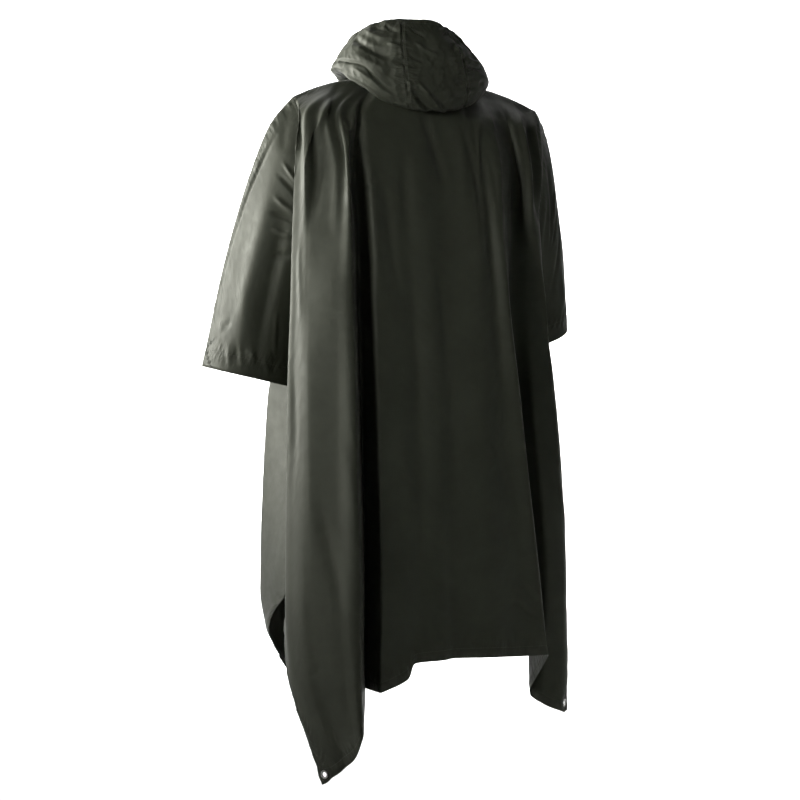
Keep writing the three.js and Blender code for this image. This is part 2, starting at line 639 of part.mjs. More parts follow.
const pieces = [
  clothPiece("back_panel", panelGrid(BACK_FOLDS, 1)),
  clothPiece("front_panel", panelGrid(FRONT_FOLDS, -1)),
  clothPiece("left_sleeve", sleeveGrid(LEFT_SLEEVE, 1), true),
  clothPiece("right_sleeve", sleeveGrid(RIGHT_SLEEVE, -1), true),
];
const seams = seamDirections(pieces);
const corners = {
  back_panel: ["eyelet_back_left", "eyelet_back_right"],
  front_panel: ["eyelet_front_right", "eyelet_front_left"],
};
for (const piece of pieces) {
  let geometry = clothWall(piece, seams);
  (corners[piece.name] ?? []).forEach((name, i) => {
    const place = eyeletPlace(piece, geometry, i === 0 ? 0 : piece.columns - 1);
    geometry = cutHole(geometry, place);
    const eyelet = mesh(name, eyeletGeometry(), METAL);
    eyelet.position.copy(place.centre);
    eyelet.quaternion.copy(place.turn);
  });
  mesh(piece.name, geometry, SHELL);
}

const hood = [
  clothPiece("hood_left", hoodGrid(HOOD_SEAMS.left, HOOD_ENDS.left, HOOD_SIDE_STEPS)),
  clothPiece("hood_centre", hoodGrid(HOOD_SEAMS.right, HOOD_SEAMS.left, HOOD_CENTRE_STEPS)),
  clothPiece("hood_right", hoodGrid(HOOD_ENDS.right, HOOD_SEAMS.right, HOOD_SIDE_STEPS)),
];
const hoodSeams = seamDirections(hood);
for (const piece of hood) mesh(piece.name, clothWall(piece, hoodSeams), SHELL);

export default root;
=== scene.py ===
# Rain poncho of coated nylon, hollow, as it hangs from a wearer's shoulders with the hood folded down.
# Metres, +Z up, front towards -Y, wearer's left towards +X, origin at the base of the neck.
import math

import bmesh
import bpy
import numpy as np
from mathutils import Matrix, Vector


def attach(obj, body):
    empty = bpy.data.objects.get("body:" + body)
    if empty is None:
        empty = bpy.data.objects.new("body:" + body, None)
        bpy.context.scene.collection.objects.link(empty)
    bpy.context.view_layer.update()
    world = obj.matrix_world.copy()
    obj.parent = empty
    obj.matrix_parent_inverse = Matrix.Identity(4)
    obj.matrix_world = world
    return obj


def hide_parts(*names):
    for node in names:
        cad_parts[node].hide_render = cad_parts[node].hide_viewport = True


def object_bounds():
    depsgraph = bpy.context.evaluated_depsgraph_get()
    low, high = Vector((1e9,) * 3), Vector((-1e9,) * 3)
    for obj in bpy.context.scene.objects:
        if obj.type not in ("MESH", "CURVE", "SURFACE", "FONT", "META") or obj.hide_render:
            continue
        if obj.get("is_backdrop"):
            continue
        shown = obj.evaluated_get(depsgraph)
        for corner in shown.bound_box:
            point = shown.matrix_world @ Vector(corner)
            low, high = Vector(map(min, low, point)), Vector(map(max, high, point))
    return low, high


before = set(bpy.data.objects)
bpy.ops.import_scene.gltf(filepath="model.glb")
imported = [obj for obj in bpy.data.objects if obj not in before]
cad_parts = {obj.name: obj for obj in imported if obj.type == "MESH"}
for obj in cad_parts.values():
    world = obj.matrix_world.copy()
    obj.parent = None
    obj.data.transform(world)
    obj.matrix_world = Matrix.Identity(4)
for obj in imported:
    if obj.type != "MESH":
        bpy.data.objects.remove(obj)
cad_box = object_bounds()


# Back panel
# A straight length of coated nylon that hangs from the shoulder and neck seams and falls in upright flutes.
# Its hem and its free side edges are turned twice and stitched; its corners carry eyelets.

MM = 0.001
CLOTH_WALL = 0.9 * MM

# The tables below are in millimetres. Neck opening, an ellipse in plan, lower at the throat than at the nape
NECK = dict(x=5, y=-15, across=80, deep=85, side=10, nape=-8, throat=-42)
SHOULDER = dict(tip_x=255, tip_y=-5, drop=45)
ARMPIT = dict(x=200, y=-15, z=-420)
ARMHOLE_HALF_DEPTH = 77
ARMHOLE_END = 0.8

# Heights at which the fold tables place each fold; low and hem carry heights of their own
LEVELS = [-80, -180, -300, -420, -600, -970]
SLIT = 970
LOW = 1085
HEM = 1200
ROW_STEP = 5
BACK_STEPS_PER_FOLD = 9
TOP_BLEND = 20


def on_left(share):
    return dict(side=1, share=share)


def on_right(share):
    return dict(side=-1, share=share)


def on_neck(degrees):
    return dict(degrees=degrees)


# Folds of the back, from the wearer's left edge to the right edge
BACK_FOLDS = [
    dict(
        fold="left edge", top=on_left(1), low=[284, 48, -1100], hem=[243, 120, -1305],
        at=[[0, 0], [0, 0], [0, 0], [200, -15], [220, 0], [265, -15]],
    ),
    dict(
        fold="hollow by the sleeve", top=on_left(0.96), low=[290, 60, -1100], hem=[239, 125, -1302],
        at=[[256, 44], [259, 68], [258, 72], [222, 50], [244, 48], [280, 35]],
    ),
    dict(
        fold="left ridge", top=on_left(0.91), low=[290, 76, -1108], hem=[233, 134, -1293],
        at=[[263, 45], [277, 68], [286, 78], [290, 80], [297, 80], [297, 75]],
    ),
    dict(
        fold="outer flank", top=on_left(0.76), low=[283, 100, -1110], hem=[226, 141, -1288],
        at=[[254, 58], [269, 80], [278, 92], [283, 95], [289, 97], [291, 98]],
    ),
    dict(
        fold="short shoulder ridge", top=on_left(0.54), low=[272, 122, -1110], hem=[219, 149, -1281],
        at=[[229, 82], [268, 92], [271, 105], [276, 110], [282, 115], [283, 118]],
    ),
    dict(
        fold="shoulder valley", top=on_left(0.42), low=[256, 140, -1108], hem=[211, 158, -1270],
        at=[[216, 78], [247, 98], [264, 112], [270, 118], [275, 128], [270, 135]],
    ),
    dict(
        fold="blade ridge", top=on_left(0.32), low=[225, 176, -1100], hem=[203, 180, -1253],
        at=[[198, 88], [206, 125], [220, 145], [233, 155], [232, 162], [234, 172]],
    ),
    dict(
        fold="flute edge", top=on_left(0.16), low=[200, 200, -1095], hem=[194, 198, -1213],
        at=[[172, 95], [199, 138], [202, 160], [204, 172], [204, 185], [201, 200]],
    ),
    dict(
        fold="deep left valley", top=on_left(0), low=[152, 100, -1076], hem=[151, 100, -1137],
        at=[[156, 82], [175, 105], [170, 112], [168, 112], [162, 108], [152, 102]],
    ),
    dict(
        fold="panel's left ridge", top=on_neck(28), low=[147, 171, -1070], hem=[149, 172, -1137],
        at=[[143, 90], [148, 122], [145, 140], [146, 148], [146, 158], [145, 170]],
    ),
    dict(
        fold="lobe's edge", top=on_neck(42), low=[98, 168, -1062], hem=[91, 168, -1115],
        at=[[119, 91], [117, 123], [111, 141], [106, 148], [100, 158], [98, 168]],
    ),
    dict(
        fold="soft left valley", top=on_neck(55), low=[70, 166, -1045], hem=[76, 165, -1088],
        at=[[100, 92], [93, 124], [86, 141], [75, 148], [67, 157], [66, 166]],
    ),
    dict(
        fold="middle ridge", top=on_neck(78), low=[27, 173, -1040], hem=[24, 172, -1084],
        at=[[45, 92], [50, 127], [42, 146], [34, 155], [30, 165], [29, 173]],
    ),
    dict(
        fold="middle valley", top=on_neck(98), low=[-5, 168, -1040], hem=[-6, 166, -1082],
        at=[[-7, 90], [3, 122], [6, 142], [2, 151], [-1, 160], [-3, 168]],
    ),
    dict(
        fold="long right ridge", top=on_neck(124), low=[-74, 181, -1040], hem=[-75, 181, -1082],
        at=[[-52, 90], [-56, 127], [-61, 148], [-54, 158], [-57, 170], [-73, 180]],
    ),
    dict(
        fold="soft right valley", top=on_right(0), low=[-131, 172, -1040], hem=[-133, 171, -1084],
        at=[[-79, 86], [-83, 122], [-87, 140], [-91, 150], [-101, 160], [-130, 172]],
    ),
    dict(
        fold="panel's right edge", top=on_right(0.2), low=[-183, 177, -1040], hem=[-191, 175, -1083],
        at=[[-107, 84], [-106, 128], [-108, 150], [-115, 160], [-133, 170], [-175, 178]],
    ),
    dict(
        fold="deep right valley", top=on_right(0.36), low=[-202, 71, -1070], hem=[-204, 70, -1170],
        at=[[-149, 66], [-158, 92], [-156, 92], [-154, 88], [-175, 80], [-200, 72]],
    ),
    dict(
        fold="right flute edge", top=on_right(0.5), low=[-227, 95, -1080], hem=[-222, 88, -1188],
        at=[[-166, 72], [-172, 98], [-182, 104], [-186, 104], [-197, 104], [-229, 100]],
    ),
    dict(
        fold="right ridge", top=on_right(0.68), low=[-262, 95, -1090], hem=[-256, 92, -1203],
        at=[[-184, 66], [-187, 98], [-200, 110], [-219, 112], [-236, 108], [-264, 95]],
    ),
    dict(
        fold="right flank", top=on_right(0.85), low=[-283, 78, -1090], hem=[-272, 85, -1207],
        at=[[-214, 54], [-216, 78], [-220, 86], [-224, 76], [-252, 76], [-284, 62]],
    ),
    dict(
        fold="right edge", top=on_right(1), low=[-291, 52, -1085], hem=[-280, 76, -1205],
        at=[[0, 0], [0, 0], [0, 0], [-200, -15], [-225, -2], [-268, -12]],
    ),
]


def monotone(stations, values):
    """Curves through a row of values at each station, that never swing past those values."""
    stations = np.asarray(stations, float)
    values = np.asarray(values, float).reshape(len(stations), -1)
    step = np.diff(stations)[:, None]
    slope = np.diff(values, axis=0) / step
    before = 2 * step[1:] + step[:-1]
    after = step[1:] + 2 * step[:-1]
    with np.errstate(divide="ignore", invalid="ignore"):
        inner = (before + after) / (before / slope[:-1] + after / slope[1:])
    inner = np.where(slope[:-1] * slope[1:] > 0, inner, 0)
    tangent = np.vstack([slope[:1], inner, slope[-1:]])

    def at(places):
        places = np.atleast_1d(np.asarray(places, float))
        i = np.clip(np.searchsorted(stations, places) - 1, 0, len(stations) - 2)
        h = step[i]
        t = (places - stations[i])[:, None] / h
        rise = values[i + 1] - values[i]
        bend = h * (tangent[i] + tangent[i + 1]) - 2 * rise
        lead = 3 * rise - h * (2 * tangent[i] + tangent[i + 1])
        return values[i] + t * (h * tangent[i] + t * (lead + t * bend))

    return at


def mix(a, b, t):
    return a + (b - a) * t


def neck_point(degrees):
    a = np.radians(degrees)
    end = np.where(np.sin(a) > 0, NECK["nape"], NECK["throat"])
    z = mix(NECK["side"], end, np.sin(a) ** 2)
    return np.stack([NECK["x"] + NECK["across"] * np.cos(a), NECK["y"] + NECK["deep"] * np.sin(a), z], -1)


def shoulder_point(side, share):
    share = np.asarray(share, float)
    x = mix(NECK["x"] + side * NECK["across"], side * SHOULDER["tip_x"], share)
    y = mix(NECK["y"], SHOULDER["tip_y"], share)
    return np.stack([x, y, NECK["side"] - SHOULDER["drop"] * share**2], -1)


def top_point(top):
    return neck_point(top["degrees"]) if "degrees" in top else shoulder_point(top["side"], top["share"])


SHOULDER_TIP_Z = shoulder_point(1, 1)[2]
above_armpit = [z for z in LEVELS if z >= ARMPIT["z"]]
armhole_height = monotone([0] + [-z for z in above_armpit], [SHOULDER_TIP_Z] + above_armpit)
ARMHOLE_HALF_HEIGHT = (SHOULDER_TIP_Z - ARMPIT["z"]) / 2


def armhole_points(side, downs, face):
    """Points of one side's armhole, on the back (face 1) or the front (face -1)."""
    z = armhole_height(np.clip(downs, 0, -ARMPIT["z"]))[:, 0]
    up = np.clip((z - ARMPIT["z"]) / ARMHOLE_HALF_HEIGHT - 1, -1, 1)
    x = side * mix(ARMPIT["x"], SHOULDER["tip_x"], (up + 1) / 2)
    y = mix(ARMPIT["y"], SHOULDER["tip_y"], (up + 1) / 2)
    return np.stack([x, y + face * ARMHOLE_HALF_DEPTH * (1 - up * up) ** ARMHOLE_END, z], -1)


def fold_line(row, face, downs):
    """One fold from top to hem; an edge fold is armhole, then side seam, then free edge."""
    points = [tuple(top_point(row["top"]))]
    points += [(x, y, z) for (x, y), z in zip(row["at"], LEVELS)] + [row["low"], row["hem"]]
    marks = [0] + [-z for z in LEVELS] + [LOW, HEM]
    if row["top"].get("share") != 1:
        return monotone(marks, points)(downs)
    armpit = marks.index(-ARMPIT["z"])
    slit = marks.index(SLIT)
    seam = monotone(marks[armpit : slit + 1], points[armpit : slit + 1])(downs)
    free = monotone(marks[slit:], points[slit:])(downs)
    armhole = armhole_points(row["top"]["side"], downs, face)
    below = np.where((downs < SLIT)[:, None], seam, free)
    return np.where((downs < -ARMPIT["z"])[:, None], armhole, below)


def top_line(folds, steps):
    """The panel's top edge, along the shoulder seams and round the neck."""
    points = []
    for i, (a, b) in enumerate(zip(folds, folds[1:])):
        a, b = a["top"], b["top"]
        t = np.arange(steps + (i == len(folds) - 2)) / steps
        if "side" in a and "side" in b and a["side"] == b["side"]:
            points.append(shoulder_point(a["side"], mix(a["share"], b["share"], t)))
            continue
        degrees = []
        for top, other in ((a, b), (b, a)):
            far = 180 if other.get("degrees", 1) > 0 else -180
            degrees.append(top["degrees"] if "degrees" in top else 0 if top["side"] > 0 else far)
        points.append(neck_point(mix(degrees[0], degrees[1], t)))
    return np.concatenate(points)


def panel_grid(folds, face, steps, downs):
    """Points of a panel, a row for each distance down, a column for each step across its folds."""
    lines = np.stack([fold_line(row, face, downs) for row in folds])
    shares = np.arange((len(folds) - 1) * steps + 1) / steps
    across = monotone(np.arange(len(folds)), lines)(shares)
    grid = across.reshape(len(shares), len(downs), 3).transpose(1, 0, 2)
    fade = np.clip(1 - downs / TOP_BLEND, 0, 1)[:, None, None]
    return grid + (top_line(folds, steps) - grid[0]) * fade


def flat_points(grid):
    """Where each point of a grid lies on the cloth before it was hung: metres across and down."""
    across = np.linalg.norm(np.diff(grid, axis=1), axis=2)
    down = np.linalg.norm(np.diff(grid, axis=0), axis=2)
    across = np.pad(np.cumsum(across, axis=1), ((0, 0), (1, 0)))
    across -= across[:, grid.shape[1] // 2][:, None]
    down = np.pad(np.cumsum(down, axis=0), ((1, 0), (0, 0)))
    return np.stack([across, down], -1)


def outward(grid):
    """Unit directions out of the cloth at each point of a grid."""
    way = np.cross(np.gradient(grid, axis=0), np.gradient(grid, axis=1))
    length = np.linalg.norm(way, axis=2, keepdims=True)
    return way / np.maximum(length, 1e-12)


NOISE_CELLS = 64


def soft_noise(flat, size, seed, turn=0.0):
    """Smooth noise from -1 to 1 over the cloth, with swells about size (across, down) apart."""
    table = np.random.default_rng(seed).uniform(-1, 1, (NOISE_CELLS, NOISE_CELLS))
    u = (flat[..., 0] * math.cos(turn) + flat[..., 1] * math.sin(turn)) / size[0]
    v = (flat[..., 1] * math.cos(turn) - flat[..., 0] * math.sin(turn)) / size[1]
    i, j = np.floor(u).astype(int), np.floor(v).astype(int)
    fu, fv = u - i, v - j
    fu, fv = fu * fu * (3 - 2 * fu), fv * fv * (3 - 2 * fv)
    corner = lambda di, dj: table[(i + di) % NOISE_CELLS, (j + dj) % NOISE_CELLS]
    return mix(mix(corner(0, 0), corner(1, 0), fu), mix(corner(0, 1), corner(1, 1), fu), fv)


def crinkle(flat, size, seed):
    """Crisp creases of handled cloth, thin raised lines about size apart, between about -1 and 1."""
    total = 0
    for k in range(3):
        n = soft_noise(flat, (size * 0.6**k, size * 0.6**k), seed + k, turn=0.4 + 0.9 * k)
        total = total + (0.7 - 2 * np.sqrt(n * n + 0.004)) * 0.6**k
    return total


def smooth_step(x):
    x = np.clip(x, 0, 1)
    return x * x * (3 - 2 * x)


def flat_place(flat, downs, steps, fold, down):
    """Flat point of a place on a panel, given by its fold and its distance down."""
    row = np.interp(down, downs, np.arange(len(downs)))
    column = fold * steps
    r, c = min(int(row), flat.shape[0] - 2), min(int(column), flat.shape[1] - 2)
    upper = mix(flat[r, c], flat[r, c + 1], column - c)
    lower = mix(flat[r + 1, c], flat[r + 1, c + 1], column - c)
    return mix(upper, lower, row - r)


CREASE_TAPER = 0.35
CREASE_LIP = 0.45


def crease_depth(flat, creases, place):
    """How far the creases raise (+) or sink (-) each point. A row is one crease: its start, its end, its
    half width and depth in millimetres, and its bow, how far its middle stands off the straight line."""
    depth = np.zeros(flat.shape[:2])
    for start, end, wide, deep, bow in creases:
        start, end = place(*start), place(*end)
        along = end - start
        length = np.linalg.norm(along)
        along = along / length
        from_start = flat - start
        t = from_start @ along / length
        side = from_start[..., 0] * along[1] - from_start[..., 1] * along[0]
        side = side + bow * MM * 4 * np.clip(t, 0, 1) * (1 - np.clip(t, 0, 1))
        off = (side / (wide * MM)) ** 2
        taper = smooth_step(t / CREASE_TAPER) * smooth_step((1 - t) / CREASE_TAPER)
        depth += deep * MM * taper * (1 - CREASE_LIP * off) * np.exp(-off)
    return depth


SEAM_FADE = 4 * MM
SEAM_LINE = 5 * MM
SEAM_HALF_WIDTH = 3 * MM
SEAM_PUCKERS = dict(size=(7 * MM, 50 * MM), reach=16 * MM)
STITCH_INSET = 2 * MM
HEM_RAISED = 0.6 * MM
HEM_STEP = 2.5 * MM
HEM_GROOVE = dict(depth=0.7 * MM, half_width=1.8 * MM)
HEM_PUCKERS = dict(size=(8 * MM, 26 * MM), turn=0.3, reach=20 * MM)
HEM_STRETCHES = dict(size=(75 * MM, 600 * MM), faint=0.4, stronger=1.2)


def seam_work(flat, edge, along, seed, ridge=0.7, pucker=0.8):
    """Relief beside a sewn seam: held down on the seam line itself, a felled ridge 6 mm wide beside it,
    and small puckers. edge is each point's distance from the seam, along its distance on the seam."""
    felled = np.exp(-(((edge - SEAM_LINE) / SEAM_HALF_WIDTH) ** 2)) * ridge * MM
    reach = np.exp(-edge / SEAM_PUCKERS["reach"])
    puckers = soft_noise(np.stack([along, edge], -1), SEAM_PUCKERS["size"], seed) * reach * pucker * MM
    return felled + puckers


def hem_work(flat, edge, along, width, seed, pucker=1.0):
    """Relief of a hem turned twice: a raised band, a groove on its stitch line, and puckers above it that
    are strong in some stretches and faint in others."""
    band = HEM_RAISED * smooth_step((width - edge) / HEM_STEP)
    off_stitches = (edge - width + STITCH_INSET) / HEM_GROOVE["half_width"]
    groove = -HEM_GROOVE["depth"] * np.exp(-(off_stitches**2))
    across = np.stack([along, edge], -1)
    reach = np.exp(-(((edge - width) / HEM_PUCKERS["reach"]) ** 2))
    stretches = smooth_step(0.4 + 1.3 * soft_noise(across, HEM_STRETCHES["size"], seed + 50))
    drawn = HEM_STRETCHES["faint"] + HEM_STRETCHES["stronger"] * stretches
    puckers = soft_noise(across, HEM_PUCKERS["size"], seed, turn=HEM_PUCKERS["turn"])
    return band + groove + puckers * reach * drawn * pucker * MM


def nearest_stitches(lines):
    """How far along and off its nearest line of stitches each point lies; a line is (off, along)."""
    offs = np.stack([np.broadcast_to(off, lines[0][0].shape) for off, along in lines])
    alongs = np.stack([np.broadcast_to(along, lines[0][0].shape) for off, along in lines])
    pick = np.abs(offs).argmin(axis=0)[None]
    return np.stack([np.take_along_axis(alongs, pick, 0)[0], np.take_along_axis(offs, pick, 0)[0]], -1)


def sheet_object(name, grid, flat, sewn, closed=False):
    """A sheet of cloth as an object: a bmesh grid whose points are moved to their places."""
    rows, columns = grid.shape[:2]
    bm = bmesh.new()
    bmesh.ops.create_grid(bm, x_segments=columns - 1, y_segments=rows - 1, size=0.5)
    mesh = bpy.data.meshes.new(name)
    bm.to_mesh(mesh)
    bm.free()
    plan = np.empty(len(mesh.vertices) * 3, np.float32)
    mesh.vertices.foreach_get("co", plan)
    plan = plan.reshape(-1, 3)
    column = np.rint((plan[:, 0] + 0.5) * (columns - 1)).astype(int)
    row = np.rint((0.5 - plan[:, 1]) * (rows - 1)).astype(int)
    mesh.vertices.foreach_set("co", grid[row, column].astype(np.float32).ravel())
    corners = np.empty(len(mesh.loops), np.int32)
    mesh.loops.foreach_get("vertex_index", corners)
    for layer, values in (("cloth", flat), ("sewn", sewn)):
        places = mesh.uv_layers.new(name=layer)
        places.data.foreach_set("uv", values[row, column][corners].astype(np.float32).ravel())
    if closed:
        bm = bmesh.new()
        bm.from_mesh(mesh)
        bmesh.ops.remove_doubles(bm, verts=bm.verts, dist=0.05 * MM)
        bm.to_mesh(mesh)
        bm.free()
    mesh.shade_smooth()
    piece = bpy.data.objects.new(name, mesh)
    bpy.context.scene.collection.objects.link(piece)
    return piece


def node_maker(material):
    """Short form for adding a node with its settings and inputs, and linking sockets given as inputs."""
    tree = material.node_tree

    def add(kind, inputs=None, **settings):
        made = tree.nodes.new(kind)
        for key, value in settings.items():
            setattr(made, key, value)
        for key, value in (inputs or {}).items():
            if isinstance(value, bpy.types.NodeSocket):
                tree.links.new(value, made.inputs[key])
            else:
                made.inputs[key].default_value = value
        return made

    return add


NYLON_DARK = (0.022, 0.0242, 0.016, 1)
NYLON_LIGHT = (0.029, 0.0318, 0.0218, 1)
THREAD = (0.05, 0.053, 0.042, 1)
SHEEN_TINT = (0.94, 0.96, 0.84, 1)
STITCH = 3.4 * MM
STITCH_RAISED = 0.35 * MM
THREAD_SOLID = 0.25 * MM
THREAD_EDGE = 0.6 * MM
WEAVE_DEPTH = 0.05 * MM
CRINKLE_DEPTH = 1.2 * MM
GATHER_STEP = 8 * MM
GATHER_LENGTH = 24 * MM
GATHER_REACH = 30 * MM
GATHER_HEIGHT = 4.5 * MM
DRAWN_STRETCH = 90 * MM


def coated_nylon(name):
    """Plain-woven nylon with a smooth coating: satin, slightly uneven in shade, finely crinkled. Beside its
    lines of stitches it is drawn into puckers, and each stitch stands a little proud."""
    material = bpy.data.materials.new(name)
    material.use_nodes = True
    tree = material.node_tree
    add = node_maker(material)
    shader = tree.nodes["Principled BSDF"]
    cloth = add("ShaderNodeUVMap", uv_map="cloth").outputs["UV"]
    sewn = add("ShaderNodeSeparateXYZ", {0: add("ShaderNodeUVMap", uv_map="sewn").outputs["UV"]}).outputs

    def math_node(operation, a, b=0.0):
        return add("ShaderNodeMath", {0: a, 1: b}, operation=operation).outputs[0]

    off = math_node("ABSOLUTE", sewn["Y"])
    beat = math_node("SINE", math_node("MULTIPLY", sewn["X"], 2 * math.pi / STITCH))
    dash = add("ShaderNodeMapRange", {"Value": beat, "From Min": -0.5, "From Max": 0.1})
    line = add("ShaderNodeMapRange", {
        "Value": off, "From Min": THREAD_SOLID, "From Max": THREAD_EDGE, "To Min": 1.0, "To Max": 0.0,
    })
    stitch = math_node("MULTIPLY", dash.outputs["Result"], line.outputs["Result"])

    blotches = add("ShaderNodeTexNoise", {"Vector": cloth, "Scale": 9.0, "Detail": 4.0, "Roughness": 0.6})
    shade = add("ShaderNodeMapRange", {"Value": blotches.outputs["Fac"], "From Min": 0.3, "From Max": 0.7})
    base = add("ShaderNodeMix", {"Factor": shade.outputs["Result"]}, data_type="RGBA")
    base.inputs["A"].default_value = NYLON_DARK
    base.inputs["B"].default_value = NYLON_LIGHT
    threaded = add("ShaderNodeMix", {"Factor": stitch}, data_type="RGBA")
    tree.links.new(base.outputs["Result"], threaded.inputs["A"])
    threaded.inputs["B"].default_value = THREAD
    tree.links.new(threaded.outputs["Result"], shader.inputs["Base Color"])

    rub = add("ShaderNodeTexNoise", {"Vector": cloth, "Scale": 55.0, "Detail": 3.0, "Roughness": 0.55})
    gloss = add("ShaderNodeMapRange", {
        "Value": rub.outputs["Fac"], "From Min": 0.3, "From Max": 0.7, "To Min": 0.58, "To Max": 0.68,
    })
    tree.links.new(gloss.outputs["Result"], shader.inputs["Roughness"])
    shader.inputs["Specular IOR Level"].default_value = 0.32
    shader.inputs["Specular Tint"].default_value = SHEEN_TINT
    shader.inputs["Sheen Weight"].default_value = 0.04
    shader.inputs["Sheen Roughness"].default_value = 0.4

    threads = []
    for direction in ("X", "Y"):
        threads.append(add(
            "ShaderNodeTexWave", {"Vector": cloth, "Scale": 700.0, "Distortion": 0.0},
            wave_type="BANDS", bands_direction=direction,
        ).outputs["Fac"])
    weave = math_node("MULTIPLY", threads[0], threads[1])
    fine = add("ShaderNodeBump", {"Height": weave, "Strength": 0.25, "Distance": WEAVE_DEPTH})
    crinkles = add("ShaderNodeTexNoise", {
        "Vector": cloth, "Scale": 40.0, "Detail": 3.0, "Roughness": 0.5, "Distortion": 0.4,
    }, noise_type="RIDGED_MULTIFRACTAL")
    creased = add("ShaderNodeBump", {
        "Height": crinkles.outputs["Fac"], "Normal": fine.outputs["Normal"], "Strength": 0.12,
        "Distance": CRINKLE_DEPTH,
    })
    along = math_node("DIVIDE", sewn["X"], GATHER_STEP)
    beside = math_node("DIVIDE", sewn["Y"], GATHER_LENGTH)
    gathers = add("ShaderNodeTexNoise", {
        "Vector": add("ShaderNodeCombineXYZ", {"X": along, "Y": beside}).outputs[0],
        "Scale": 1.0, "Detail": 2.0,
    })
    further = math_node("DIVIDE", sewn["X"], DRAWN_STRETCH)
    stretches = add("ShaderNodeTexNoise", {
        "Vector": add("ShaderNodeCombineXYZ", {"X": further}).outputs[0], "Scale": 1.0, "Detail": 1.0,
    })
    drawn = add("ShaderNodeMapRange", {
        "Value": stretches.outputs["Fac"], "From Min": 0.4, "From Max": 0.65, "To Min": 0.25, "To Max": 1.0,
    })
    reach = add("ShaderNodeMapRange", {
        "Value": off, "From Min": STITCH_INSET, "From Max": GATHER_REACH, "To Min": 1.0, "To Max": 0.0,
    }, interpolation_type="SMOOTHSTEP")
    puckers = math_node("MULTIPLY", drawn.outputs["Result"], reach.outputs["Result"])
    puckers = math_node("MULTIPLY", math_node("MULTIPLY", puckers, gathers.outputs["Fac"]), GATHER_HEIGHT)
    proud = math_node("ADD", puckers, math_node("MULTIPLY", stitch, STITCH_RAISED))
    work = add("ShaderNodeBump", {
        "Height": proud, "Normal": creased.outputs["Normal"], "Strength": 1.0, "Distance": 1.0,
    })
    tree.links.new(work.outputs["Normal"], shader.inputs["Normal"])
    return material


nylon = coated_nylon("coated_nylon")


def finish_cloth(piece, node):
    """Gives a sheet its thickness and its cloth, and puts it in the place of its CAD node."""
    wall = piece.modifiers.new("cloth_wall", "SOLIDIFY")
    wall.thickness = CLOTH_WALL
    wall.offset = -1
    piece.data.materials.append(nylon)
    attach(piece, "root")
    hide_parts(node)


def press_round_eyelet(grid, node):
    """Opens the cloth round an eyelet's barrel and presses it flat between the flanges."""
    points = np.array([v.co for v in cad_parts[node].data.vertices])
    centre = points.mean(axis=0)
    axis = np.linalg.svd(points - centre, full_matrices=False)[2][2]
    nearest = np.unravel_index(np.argmin(np.linalg.norm(grid - centre, axis=2)), grid.shape[:2])
    if axis @ outward(grid)[nearest] < 0:
        axis = -axis
    offset = grid - centre
    height = offset @ axis
    in_plane = offset - height[..., None] * axis
    r = np.linalg.norm(in_plane, axis=2)
    near = (r < EYELET_REACH) & (np.abs(height) < EYELET_REACH)
    pushed = EYELET_HOLE + r * (EYELET_REACH - EYELET_HOLE) / EYELET_REACH
    flatten = smooth_step((EYELET_REACH - r) / (EYELET_REACH - EYELET_FLANGE))
    moved = centre + in_plane * (pushed / np.maximum(r, 1e-9))[..., None]
    moved = moved + (mix(height, CLOTH_WALL / 2, flatten))[..., None] * axis
    grid[near] = moved[near]
    return centre


EYELET_HOLE = 5.2 * MM
EYELET_CLEAR = 0.9 * EYELET_HOLE
EYELET_FLANGE = 9 * MM
EYELET_REACH = 22 * MM
HEM_BAND = 20 * MM
SIDE_HEM_BAND = 9 * MM
HEM_FINE = 35
HEM_FINE_ROWS = 20
HEM_FINE_GAP = 2

# Swells and crinkles of the hung cloth, their sizes in metres, and the size of its more handled places
BROAD_SWELLS = dict(size=(0.06, 0.4), height=1.2 * MM)
NARROW_SWELLS = dict(size=(0.03, 0.2), height=0.4 * MM)
PANEL_CRINKLES = dict(size=0.05, height=0.3 * MM)
PANEL_HANDLED = (0.16, 0.22)

